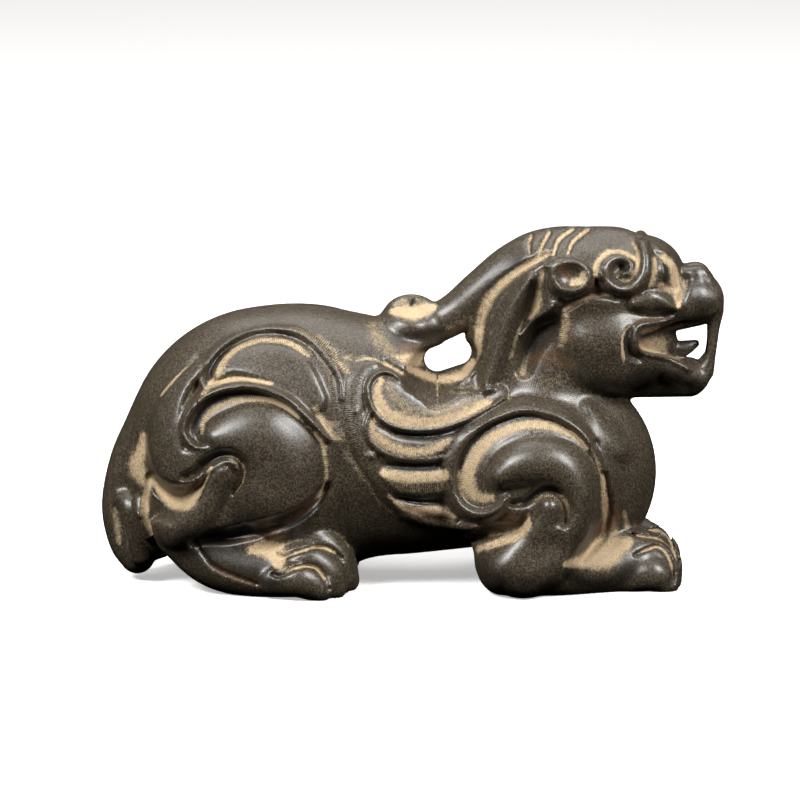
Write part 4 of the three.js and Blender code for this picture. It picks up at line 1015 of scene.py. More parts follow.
@dataclass(frozen=True)
class Haunch:
    """The carving of the haunch: the thigh's comma, its ring, and the crescent above it."""

    relief: tuple[Stroke, ...] = (
        Stroke(
            (
                (-39.2, 28.4, 3.4),
                (-34.8, 27.8, 6.5),
                (-29.5, 27.2, 8.4),
                (-26.6, 23, 9.2),
                (-27, 17, 8.6),
            ),
            3,
        ),
        Stroke(
            (
                (-42.6, 42.4, 1.4),
                (-46.6, 38.4, 2.4),
                (-49, 33, 3.4),
                (-49.3, 27.6, 3.9),
                (-47.6, 23.3, 4.1),
                (-43.6, 23, 3.6),
                (-40, 24.8, 3),
                (-36, 26.4, 2.4),
            ),
            2.4,
            Edge.SHELF,
        ),
        Stroke(
            (
                (-37.6, 20.8, 2.7),
                (-40.2, 17.2, 3.2),
                (-43.6, 12.6, 3.5),
                (-47, 9.6, 3.4),
                (-50.2, 10.4, 2.4),
            ),
            2.3,
            crest=-0.45,
        ),
        Stroke(
            (
                (-40.6, 26.3, 0.5),
                (-43, 26.4, 0.9),
                (-45, 27.8, 1.2),
                (-45.9, 30, 1.25),
                (-45.3, 32.4, 1.25),
                (-44, 34.6, 1.25),
                (-41.6, 36.8, 1.2),
                (-38.4, 38.2, 1.15),
                (-35, 38.9, 1.1),
                (-31.5, 38.8, 1.05),
                (-28, 37.9, 1),
                (-24.6, 36.2, 1.05),
                (-21.7, 33.6, 1.05),
                (-19.2, 31, 0.85),
                (-16.8, 28.2, 0.5),
            ),
            3,
            crest=-0.45,
        ),
        Stroke(
            (
                (-38.6, 41.4, 1.4),
                (-35.6, 43.6, 2.6),
                (-30, 43.8, 4),
                (-24, 41.2, 4.2),
                (-19.6, 36, 2.8),
            ),
            1.1,
            Edge.SHELF,
        ),
        Stroke(
            (
                (-41.6, 38.6, 0.9),
                (-42.3, 41, 1),
                (-40.9, 44, 1),
                (-38.3, 46.8, 1),
                (-34.9, 49, 1),
                (-31.1, 50.3, 1),
                (-27.2, 50.5, 1),
                (-23.2, 49.8, 0.9),
                (-19.8, 47.8, 0.9),
                (-16.8, 44.4, 0.9),
                (-14.4, 40.6, 0.8),
                (-14, 36, 0.5),
            ),
            1.3,
            crest=-0.3,
        ),
        Stroke(
            (
                (-40.2, 39.8, 0.6),
                (-39.9, 41.9, 0.9),
                (-37.7, 45, 1),
                (-34.6, 47.4, 0.9),
                (-31.1, 48.8, 0.8),
                (-27.3, 49, 0.8),
                (-24, 48.3, 0.6),
                (-21, 46.8, 0.4),
            ),
            1,
            Edge.GROOVE,
        ),
        Stroke(
            (
                (-45.6, 20.6, 0.8),
                (-42.8, 21.8, 1.2),
                (-40.8, 23.6, 1.4),
                (-38.4, 24.9, 1.4),
                (-36, 25.2, 1.2),
                (-34.2, 24.2, 1),
                (-33.5, 21.9, 0.9),
                (-34, 19.6, 0.8),
                (-35.6, 17.8, 0.5),
            ),
            2.2,
            Edge.GROOVE,
        ),
        Stroke(
            (
                (-52.6, 20.6, 1),
                (-50, 18, 1.7),
                (-46.8, 16.2, 2.1),
                (-44, 16.8, 1.8),
                (-42.2, 18.8, 1.2),
                (-41, 21, 0.8),
            ),
            2,
            Edge.GROOVE,
        ),
        Stroke(
            (
                (-17, 19, 0.8),
                (-19.6, 15.6, 1.3),
                (-24, 12.4, 1.7),
                (-30, 10.4, 1.9),
                (-36, 9.2, 1.8),
                (-41, 8.6, 1.3),
                (-44, 7.6, 0.7),
            ),
            2,
            Edge.GROOVE,
        ),
        Stroke(
            ((-42.8, 44.8, 0.4), (-46.4, 41.2, 0.5), (-50.2, 36.8, 0.6), (-53, 31.6, 0.8)),
            0.6,
            Edge.GROOVE,
        ),
        Stroke(
            (
                (-53.2, 32.7, 0.6),
                (-54, 30.9, 0.8),
                (-55.6, 28.4, 1),
                (-57, 25.3, 1),
                (-58.2, 22.7, 0.7),
            ),
            1,
            Edge.GROOVE,
        ),
        Stroke(((-54.2, 27.8, 1), (-54.8, 22.6, 1.9)), 0.9, Edge.GROOVE),
        Stroke(
            ((-52.6, 20.7, 0.7), (-53.2, 16.9, 0.9), (-53.5, 13, 0.9), (-52.4, 9.2, 0.6)),
            0.9,
            Edge.GROOVE,
        ),
        Stroke(((-55.2, 13.8, 0.7), (-54.5, 12.8, 0.8)), 0.8, Edge.SOFT),
    )
    # The dark stains here are painted shade: under the ring's edges, in the crescent's groove, in the valley above the
    # knee, beside the tail, across the lower thigh and under it.
    stains: tuple[Stain, ...] = (
        Stain(
            (
                (-41.8, 29.4, 0.4),
                (-41.5, 31.8, 0.7),
                (-39.4, 34.2, 0.9),
                (-36.4, 35.7, 0.9),
                (-33.1, 36.4, 0.8),
                (-28.5, 36, 0.6),
                (-25.6, 34.8, 0.5),
                (-22.7, 32.8, 0.4),
            ),
            1,
            0.8,
        ),
        Stain(
            (
                (-43, 30.4, 0.4),
                (-42.6, 32.6, 0.5),
                (-41, 34.8, 0.5),
                (-38.4, 36.4, 0.5),
                (-35.2, 37.2, 0.5),
                (-32.1, 37.4, 0.5),
                (-28.5, 36.9, 0.4),
            ),
            1,
            0,
            Tone.DARK,
        ),
        Stain(
            (
                (-38.8, 40.8, 0.6),
                (-37.8, 43.4, 0.7),
                (-35.6, 45.7, 0.7),
                (-32.1, 47.4, 0.6),
                (-28.5, 47.9, 0.6),
                (-24.7, 47.3, 0.6),
                (-20.9, 45, 0.6),
            ),
            0.9,
            0.8,
        ),
        Stain(
            (
                (-40.4, 40.2, 0.4),
                (-40, 42.2, 0.5),
                (-37.8, 45.3, 0.5),
                (-34.7, 47.7, 0.5),
                (-31.1, 49.1, 0.5),
                (-27.3, 49.3, 0.4),
                (-24, 48.7, 0.4),
            ),
            1,
            0,
            Tone.DARK,
        ),
        Stain(((-41.6, 37.2, 0.5), (-39.8, 39.4, 0.8), (-38.4, 41.4, 1), (-37.4, 43, 0.8)), 0.7, 0.3),
        Stain(((-39.5, 39, 0.5), (-36, 39.9, 0.5), (-32.5, 39.9, 0.4), (-28, 39.2, 0.4)), 0.8),
        Stain(((-24, 50.4, 0.8), (-19.6, 48.4, 1.2), (-16.2, 45.6, 1.4), (-13.8, 42, 1.1)), 0.55, 1),
        Stain(((-20.4, 46.4, 0.6), (-17.6, 43, 0.8), (-16, 39, 0.8), (-15.4, 35, 0.7)), 0.4, 1),
        Stain(((-15.6, 44, 0.6), (-13.8, 42.6, 0.7), (-12.6, 41.4, 0.5)), 0.7, 0.5),
        Stain(
            (
                (-19.1, 29.3, 0.5),
                (-17.8, 27, 0.5),
                (-17.3, 23.9, 0.5),
                (-17.1, 21.4, 0.5),
                (-17.6, 18.8, 0.5),
                (-19.6, 16.3, 0.4),
            ),
            0.7,
            0.6,
        ),
        Stain(((-19.4, 34.4, 0.6), (-17.4, 31.4, 0.7), (-15.6, 28.4, 0.6)), 0.8, 0.8),
        Stain(
            (
                (-51.6, 19.6, 0.6),
                (-49.6, 16.9, 1.1),
                (-47, 15.4, 1.3),
                (-44.6, 15.6, 1.2),
                (-42.9, 17.6, 0.9),
                (-41.4, 20.4, 0.6),
                (-39.9, 22.6, 0.4),
            ),
            1,
            0.3,
        ),
        Stain(((-50.4, 19.2, 0.8), (-46.8, 17.9, 0.9), (-43.8, 18.6, 0.8)), 0.7, 0, Tone.RUST),
        Stain(
            ((-36.2, 24.4, 0.5), (-34.8, 23.6, 0.7), (-34, 21.6, 0.7), (-34.4, 19.6, 0.6), (-35.4, 18, 0.4)),
            0.8,
            1,
        ),
        Stain(((-42, 23.6, 0.7), (-39, 25.3, 0.8), (-35.8, 25.9, 0.7), (-33.4, 24.2, 0.5)), 1, 0, Tone.DARK),
        Stain(((-42.8, 44.7, 0.25), (-46.4, 41.2, 0.3), (-50.2, 36.9, 0.3)), 0.85),
        Stain(((-53, 31.8, 0.5), (-54.4, 29.8, 0.7), (-57, 26, 0.8)), 0.9, 0, Tone.DARK),
        Stain(((-40, 30, 5), (-30, 22, 6), (-34, 16, 5)), 0.25, 0, Tone.DARK),
        Stain(((-20, 14.6, 1.6), (-26, 11.6, 2), (-34, 9.6, 1.9), (-41, 8.2, 1.5)), 1, 0, Tone.DARK),
        Stain(((-20, 16, 1), (-25, 12.4, 1)), 0.5, 0, Tone.RUST),
    )


@dataclass(frozen=True)
class Wing:
    """The wing: a curved frame with four feathers, each overlapping the one below it."""

    frame: Path = (
        (-7, 43.4, 1.2),
        (-9.6, 42, 1.9),
        (-11.3, 39.4, 2.3),
        (-11.9, 36.2, 2.3),
        (-11.4, 32.4, 2.1),
        (-10.7, 28.6, 1.9),
        (-9.4, 24.8, 1.9),
        (-7.4, 21, 1.9),
        (-5, 17.4, 1.8),
        (-2, 14, 1.6),
        (2, 11.9, 1.3),
        (7, 10.8, 1.2),
        (12.9, 10.6, 0.8),
    )
    feathers: tuple[Stroke, ...] = (
        Stroke(
            (
                (-5.4, 38, 2.9),
                (-2.4, 35.2, 4.6),
                (2, 34.2, 4.5),
                (7, 34.3, 3.5),
                (12, 35.6, 2.5),
                (17.6, 37.6, 1.4),
            ),
            1.7,
            Edge.SHELF,
        ),
        Stroke(
            (
                (-8, 31.2, 0.9),
                (-6.4, 28.9, 1.8),
                (-3.6, 27.2, 2.4),
                (0, 26.4, 2.5),
                (4, 26.6, 2.4),
                (7.6, 28.4, 1.4),
            ),
            1.3,
            crest=-0.6,
        ),
        Stroke(((-5.2, 20.8, 1.6), (-2.4, 19.6, 2.9), (1.5, 19.2, 3.2), (6, 19.6, 3)), 1.5, crest=-0.5),
        Stroke(((-4, 16.2, 0.6), (-1, 14.9, 1.2), (3, 13.9, 1.6), (6.4, 13.4, 1.4), (8.6, 12.2, 0.7)), 1),
    )
    edges: tuple[Path, ...] = (
        (
            (-2, 39.8, 0.4),
            (-3.8, 41.1, 0.6),
            (-5.6, 41.6, 0.65),
            (-7.4, 41, 0.7),
            (-8.6, 39.4, 0.7),
            (-8.8, 37.4, 0.7),
            (-8.2, 35, 0.7),
            (-6.9, 32.9, 0.7),
            (-4.6, 31.1, 0.7),
            (-1.6, 30.2, 0.7),
            (2, 29.9, 0.7),
            (6, 30.4, 0.7),
            (10, 31.8, 0.7),
            (14, 33.8, 0.6),
            (18.6, 36.4, 0.4),
        ),
        (
            (-7.8, 34.2, 0.4),
            (-8.9, 32.4, 0.5),
            (-9.2, 30.2, 0.6),
            (-8.4, 27.9, 0.6),
            (-6.7, 26.1, 0.6),
            (-4.4, 24.9, 0.6),
            (-2.1, 24.3, 0.6),
            (0.9, 24, 0.6),
            (4, 24.1, 0.6),
            (6, 24.6, 0.4),
        ),
    )
    studs: tuple[Path, ...] = (
        ((-8.6, 24.8, 1), (-8.1, 24.8, 1)),
        ((-11.6, 33.7, 0.9), (-11.1, 33.7, 0.9)),
    )
    shadows: tuple[Stroke, ...] = (
        Stroke(
            ((-3.4, 29.2, 0.6), (0, 28.8, 0.8), (4, 28.9, 0.9), (8, 29.7, 0.9), (12, 31.2, 0.6)),
            0.5,
            Edge.GROOVE,
        ),
        Stroke(((-5, 23.2, 0.5), (-1, 22.8, 0.7), (3, 22.8, 0.8), (6, 23.2, 0.6)), 0.6, Edge.GROOVE),
        Stroke(((-3, 16.6, 0.5), (0, 15.9, 0.6), (3, 15.6, 0.6), (6, 15.9, 0.5)), 0.7, Edge.GROOVE),
        Stroke(
            ((-9.4, 44.2, 0.4), (-6, 43.5, 0.5), (-3, 41.8, 0.6), (1, 39.6, 0.7), (5, 38.3, 0.7), (10, 38.4, 0.6)),
            0.8,
            Edge.GROOVE,
        ),
    )
    # The dark stains here are painted shade under the overlapping rim and feathers.
    stains: tuple[Stain, ...] = (
        Stain(((-6.2, 39.8, 0.6), (-6.9, 37.4, 0.9), (-6.3, 35, 1.2), (-4.6, 33.2, 1.3), (-1.8, 32, 1.4)), 0.95, 0.35),
        Stain(((-1.8, 32, 1.3), (2, 31.6, 1.2), (6, 32, 1.2), (10.6, 33.6, 1.1), (15, 35.6, 0.9)), 0.9, 0.4),
        Stain(((-4.6, 38.6, 1.2), (-3, 35.6, 1.6), (2, 33.6, 1.4), (9, 34.6, 1.4), (13, 36.4, 1)), 0.5, 0.3),
        Stain(((0, 40.8, 0.3), (4, 38.9, 0.3), (8, 38.4, 0.3), (12, 38.8, 0.3), (14, 40, 0.3)), 0.7),
        Stain(((6, 37.4, 0.3), (10, 37.4, 0.3), (13.4, 38.4, 0.3)), 0.5),
        Stain(((-4, 29.9, 0.5), (0, 28.9, 0.8), (4, 28.9, 0.9), (8, 29.9, 0.8), (12, 31.4, 0.5)), 0.8, 0.6, Tone.DARK),
        Stain(
            (
                (-8, 32.2, 0.5),
                (-7.8, 29.8, 0.9),
                (-6, 27.8, 1.1),
                (-2.6, 26.2, 1.1),
                (1, 25.7, 1),
                (4.6, 26.4, 1.1),
                (7, 28, 0.9),
            ),
            0.85,
            0.5,
        ),
        Stain(((-6.4, 29.6, 0.7), (-4.6, 28.6, 0.7)), 0.5, 0, Tone.RUST),
        Stain(((-4.8, 23.3, 0.4), (-1, 22.7, 0.6), (3, 22.6, 0.7), (6, 22.9, 0.5)), 1, 0, Tone.DARK),
        Stain(((-5.8, 21.6, 0.8), (-2.6, 20.7, 1.3), (2, 20.8, 1.3), (6.2, 21.2, 1.3)), 1, 0.6),
        Stain(((-3.6, 19.4, 0.8), (0, 18.4, 1.1), (5.6, 18.6, 1.1)), 0.45, 1),
        Stain(((-3.4, 16.8, 0.4), (0, 16, 0.5), (3, 15.8, 0.5), (6, 16.1, 0.4)), 0.9, 0, Tone.DARK),
        Stain(((-4.6, 16.9, 0.4), (-2, 14.9, 0.7), (1.4, 13.9, 0.9), (5, 13.9, 1.1), (8.2, 12.4, 0.8)), 0.9, 0.5),
        Stain(((-1, 14.6, 0.6), (3, 13.4, 0.8), (7, 12.8, 0.8)), 0.6, 0, Tone.RUST),
        Stain(
            (
                (-16, 31.7, 0.5),
                (-14.1, 28.7, 0.6),
                (-12.1, 24.1, 0.5),
                (-9, 19.7, 0.5),
                (-7, 16.2, 0.4),
                (-3.1, 12.8, 0.4),
            ),
            0.6,
            1,
        ),
        Stain(((-13.6, 44.4, 0.6), (-11, 44.1, 0.5), (-8, 44.1, 0.4), (-5.2, 43, 0.4), (-2, 41.2, 0.4)), 0.7, 0.3),
        Stain(((-11, 41, 1.6), (-12.2, 37, 1.8), (-11.6, 30, 1.6), (-9, 24, 1.4)), 0.25, 0.9),
        Stain(((-8.9, 24.1, 0.3), (-7.6, 24.2, 0.3), (-7.7, 25.6, 0.3), (-9, 25.4, 0.3)), 0.4),
        Stain(((-2, 12.2, 0.8), (4, 10.4, 1), (10, 10.4, 0.8)), 0.25, 0.5),
    )

    def relief(self) -> tuple[Stroke, ...]:
        """The frame, the feathers, the rims of the upper two, and the shadows under them."""
        strokes = [Stroke(self.frame, 1.1), *self.feathers]
        strokes += [Stroke(path, 2.5 - 0.6 * n) for n, path in enumerate(self.edges)]
        strokes += [Stroke(path, 1.6) for path in self.studs]
        return (*strokes, *self.shadows)


@dataclass(frozen=True)
class Shoulder:
    """The carving of the shoulder: a comma that curls into the forearm, within a ring."""

    relief: tuple[Stroke, ...] = (
        Stroke(
            (
                (17.2, 21, 2.9),
                (20.2, 22.9, 4.1),
                (25, 23.9, 4.8),
                (29.8, 22.9, 4.7),
                (32.7, 19.4, 4),
                (33.6, 15, 3.2),
                (32.9, 11, 3.5),
                (30.6, 7, 4.3),
                (27, 3.6, 4.8),
                (22.6, 1, 5),
            ),
            3,
        ),
        Stroke(
            (
                (38.1, 21.9, 0.5),
                (36.8, 25.4, 0.8),
                (34.4, 29.2, 1.1),
                (31.5, 31.8, 1.4),
                (27.7, 33.8, 1.6),
                (22.9, 34.8, 1.7),
                (18.6, 34, 1.7),
                (14.3, 32.1, 1.7),
                (10.6, 29.2, 1.7),
                (7.9, 25.1, 1.7),
                (7.1, 21.4, 1.7),
                (7.5, 17.6, 1.7),
                (9.2, 14.7, 1.6),
                (11.9, 13.1, 1.5),
                (14.8, 13.1, 1.3),
                (17.3, 14.4, 1.1),
                (18.6, 16.3, 0.8),
            ),
            2,
            crest=0.4,
        ),
        Stroke(
            ((27.4, 14.4, 2.8), (26.8, 11.4, 3.3), (24.8, 8.2, 4), (21.4, 4.8, 4.6), (18, 1.6, 4.6)), 2.8
        ),
        Stroke(((28.4, 8.4, 3.4), (26, 4.6, 4.6), (22, 1, 5)), 2.85, Edge.SHELF),
        Stroke(
            (
                (19.6, 15.4, 0.6),
                (22.3, 15.7, 0.9),
                (24.4, 17.2, 1.1),
                (27, 18.3, 1.1),
                (29.3, 17.6, 1),
                (30.8, 15.6, 0.9),
                (31, 13.4, 0.8),
                (30.3, 11.2, 0.5),
            ),
            1.9,
            Edge.GROOVE,
        ),
        Stroke(
            (
                (22.4, 12.6, 1),
                (20.6, 10.6, 1.6),
                (17.5, 9.9, 1.9),
                (14.3, 9.4, 1.8),
                (12.4, 8.6, 1.2),
            ),
            1.9,
            Edge.GROOVE,
        ),
        Stroke(
            (
                (36.4, 27.6, 0.6),
                (37.9, 22.4, 0.9),
                (38.7, 17, 1.4),
                (38.3, 12.4, 1.8),
                (36.8, 8.4, 2),
                (33.4, 4.8, 1.6),
            ),
            1.5,
            Edge.GROOVE,
        ),
        Stroke(((35.4, 35, 2.4), (38.8, 30.4, 3.8), (42, 26, 3.4)), 1.1, Edge.SOFT),
    )
    # The dark stains here are painted shade under the ring's inner edge and in the grooves of the comma and forearm.
    stains: tuple[Stain, ...] = (
        Stain(
            (
                (34.6, 26.4, 0.4),
                (32, 28.9, 0.6),
                (27.2, 30.8, 0.9),
                (22.3, 31, 1.1),
                (18.1, 29.7, 1.2),
                (14.8, 27.6, 1.3),
                (12.4, 24.6, 1.4),
                (11.1, 21.4, 1.5),
                (11.6, 18.2, 1.4),
                (13.5, 16.6, 1.1),
                (15.8, 16.8, 0.8),
            ),
            1,
            0.7,
        ),
        Stain(
            (
                (31.4, 30.4, 0.3),
                (27.4, 32.4, 0.4),
                (22.4, 32.8, 0.5),
                (17.6, 31.6, 0.6),
                (13.6, 29.6, 0.6),
                (10.6, 26.2, 0.6),
                (9.4, 22.8, 0.5),
            ),
            1,
            0,
            Tone.DARK,
        ),
        Stain(((35.6, 26.4, 0.3), (37, 23.4, 0.4), (37.9, 20, 0.5), (38.2, 17, 0.6)), 0.75, 0.5),
        Stain(((22.3, 15.2, 0.4), (24.4, 17.4, 0.5), (26.9, 18.7, 0.5), (29.6, 18, 0.5)), 1, 0, Tone.DARK),
        Stain(
            ((24.2, 15.6, 0.4), (26, 17, 0.5), (28, 17, 0.5), (29.6, 15.6, 0.5), (30.4, 13.2, 0.4)), 0.55, 0.9
        ),
        Stain(((22.9, 13.2, 0.5), (22.9, 11, 0.7), (20.6, 8.8, 0.8), (16.8, 7.6, 0.8), (13.4, 6.4, 0.8)), 0.85, 0.3),
        Stain(((21, 12.2, 1.1), (17, 11.2, 1.4), (13.6, 10.4, 1.1)), 0.9, 0, Tone.RUST),
        Stain(((20, 12.8, 0.8), (16.6, 12, 0.8)), 0.7, 0, Tone.DARK),
        Stain(((12, 29.8, 1), (20, 35, 1.2), (30, 34, 1)), 0.2, 0.9),
    )


@dataclass
class Surface:
    """The traced surface of a field: its corners and its four-sided faces."""

    field_values: Array
    low: Point
    step: float
    corners: Array = field(init=False)
    faces: Array = field(init=False)

    def __post_init__(self) -> None:
        """Traces the surface where the field is zero."""
        self.trace()
        for _ in range(2):
            self.settle()

    def trace(self) -> None:
        """Finds one corner in each cell that the surface crosses, and a face on each edge.

        Formula: a corner is the mean of the places where the field is zero on the cell's
        twelve edges, found by linear interpolation. Each grid edge whose ends differ in sign
        gets the face that joins the corners of the four cells around it.
        """
        values = self.field_values
        inside = values < 0
        shape = tuple(n - 1 for n in values.shape)
        total = np.zeros(shape, np.int8)
        for di in (0, 1):
            for dj in (0, 1):
                for dk in (0, 1):
                    total += inside[di : di + shape[0], dj : dj + shape[1], dk : dk + shape[2]]
        cells = np.argwhere((total > 0) & (total < 8))
        number = np.full(shape, -1, np.int32)
        number[tuple(cells.T)] = np.arange(len(cells))
        place = np.zeros((len(cells), 3), np.float32)
        hits = np.zeros((len(cells), 1), np.float32)
        for axis in range(3):
            others = [n for n in range(3) if n != axis]
            for first in (0, 1):
                for second in (0, 1):
                    start = np.zeros(3, int)
                    start[others] = (first, second)
                    near = cells + start
                    end = near.copy()
                    end[:, axis] += 1
                    a = values[tuple(near.T)]
                    b = values[tuple(end.T)]
                    crossed = (a < 0) != (b < 0)
                    t = np.where(crossed, a / np.where(crossed, a - b, 1), 0)
                    offset = np.tile(start.astype(np.float32), (len(cells), 1))
                    offset[:, axis] = t
                    place += offset * crossed[:, None]
                    hits += crossed[:, None]
        self.corners = np.array(self.low) + (cells + place / hits) * self.step
        self.faces = self.join_cells(inside, number)

    @staticmethod
    def join_cells(inside: Array, number: Array) -> Array:
        """Joins the corners of the four cells around each crossed grid edge, facing outwards."""
        made = []
        for axis in range(3):
            first, second = [(1, 2), (2, 0), (0, 1)][axis]
            ahead = np.moveaxis(inside, axis, 0)
            crossed = np.moveaxis(ahead[1:] != ahead[:-1], 0, axis)
            edges = np.argwhere(crossed)
            held = np.ones(len(edges), bool)
            for other in (first, second):
                held &= (edges[:, other] > 0) & (edges[:, other] < inside.shape[other] - 1)
            edges = edges[held]
            ring = []
            for back_first, back_second in ((1, 1), (0, 1), (0, 0), (1, 0)):
                cell = edges.copy()
                cell[:, first] -= back_first
                cell[:, second] -= back_second
                ring.append(number[tuple(cell.T)])
            quads = np.stack(ring, axis=1)
            leaving = inside[tuple(edges.T)]
            quads[~leaving] = quads[~leaving][:, ::-1]
            made.append(quads)
        return np.concatenate(made)

    def read(self, values: Array, places: Array) -> Array:
        """Reads a field at places, between its eight nearest samples."""
        at = (places - np.array(self.low)) / self.step
        at = np.clip(at, 0, np.array(values.shape) - 1.001)
        base = at.astype(np.int32)
        part = (at - base).astype(np.float32)
        total = np.zeros(len(places), np.float32)
        for bits in range(8):
            shift = np.array([bits & 1, (bits >> 1) & 1, bits >> 2])
            weight = np.prod(np.where(shift, part, 1 - part), axis=1)
            total += weight * values[tuple((base + shift).T)]
        return total

    def settle(self) -> None:
        """Moves each corner onto the surface: by its field over the slope, along the slope."""
        reach = self.step / 2
        slope = np.empty_like(self.corners)
        for axis in range(3):
            step = np.zeros(3)
            step[axis] = reach
            ahead = self.read(self.field_values, self.corners + step)
            behind = self.read(self.field_values, self.corners - step)
            slope[:, axis] = (ahead - behind) / (2 * reach)
        here = self.read(self.field_values, self.corners)
        steep = np.maximum((slope**2).sum(1), 0.05)
        shift = np.clip(here / steep, -reach, reach)[:, None] * slope
        self.corners = self.corners - shift


@dataclass(frozen=True)
class StoneFinish:
    """Dark polished stone with pale old earth in its recesses.

    Attributes:
        dark: The stone where it is darkest.
        light: The stone where its grain is lightest.
        painted_shade_colour: The stone where shade is painted, in grooves, undercuts and undersides.
        dust: Thin earth over the stone.
        earth: Thick earth in the recesses.
        rust: The reddest earth.
        pitch: The spacing of the graver's cuts, in millimetres.
        polish: The roughness of the polished stone.
        chalk: The roughness of the earth.
    """

    dark: Colour = (0.017, 0.013, 0.0085)
    light: Colour = (0.085, 0.066, 0.042)
    # Painted shade: the colour the stone is darkened to where shade falls.
    painted_shade_colour: Colour = (0.008, 0.006, 0.004)
    dust: Colour = (0.13, 0.098, 0.056)
    earth: Colour = (0.36, 0.265, 0.155)
    rust: Colour = (0.12, 0.055, 0.024)
    pitch: float = 0.42
    polish: float = 0.37
    chalk: float = 0.75


@dataclass
class Nodes:
    """A short way to write a material's nodes."""

    tree: bpy.types.NodeTree

    def add(self, kind: str, sockets: dict | None = None, **settings: object) -> bpy.types.Node:
        """Adds a node, sets its settings, and fills its sockets with values or links.

        Args:
            kind: The node's type.
            sockets: For each input, by name or number, a value or the output that feeds it.
            settings: The node's own settings.

        Returns:
            The node.
        """
        node = self.tree.nodes.new(kind)
        for name, value in settings.items():
            setattr(node, name, value)
        for name, value in (sockets or {}).items():
            if isinstance(value, bpy.types.NodeSocket):
                self.tree.links.new(value, node.inputs[name])
            else:
                node.inputs[name].default_value = value
        return node

    def math(self, operation: str, *values: object, clamp: bool = False) -> bpy.types.NodeSocket:
        """Adds a Math node and returns its output."""
        sockets = dict(enumerate(values))
        node = self.add("ShaderNodeMath", sockets, operation=operation, use_clamp=clamp)
        return node.outputs[0]

    def attribute(self, name: str) -> bpy.types.NodeSocket:
        """Reads a number that the mesh holds at each corner."""
        return self.add("ShaderNodeAttribute", attribute_name=name).outputs["Fac"]

    def noise(self, place: bpy.types.NodeSocket, size: float, detail: float = 3.0) -> bpy.types.NodeSocket:
        """Adds noise whose patches are about size millimetres wide."""
        sockets = {"Vector": place, "Scale": 1 / (size * METRES), "Detail": detail, "Roughness": 0.6}
        return self.add("ShaderNodeTexNoise", sockets).outputs[0]

    def remap(
        self, value: bpy.types.NodeSocket, low: float, high: float, to_low: float = 0.0, to_high: float = 1.0
    ) -> bpy.types.NodeSocket:
        """Adds a smooth Map Range and returns its output."""
        sockets = {0: value, 1: low, 2: high, 3: to_low, 4: to_high}
        node = self.add("ShaderNodeMapRange", sockets, interpolation_type="SMOOTHSTEP")
        return node.outputs[0]

    def mix(self, share: object, a: object, b: object) -> bpy.types.NodeSocket:
        """Mixes two colours and returns the mixed one."""
        node = self.add("ShaderNodeMix", data_type="RGBA")
        for socket, value in ((node.inputs[0], share), (node.inputs[6], a), (node.inputs[7], b)):
            if isinstance(value, bpy.types.NodeSocket):
                self.tree.links.new(value, socket)
            elif isinstance(value, tuple):
                socket.default_value = (*value, 1)
            else:
                socket.default_value = value
        return node.outputs[2]


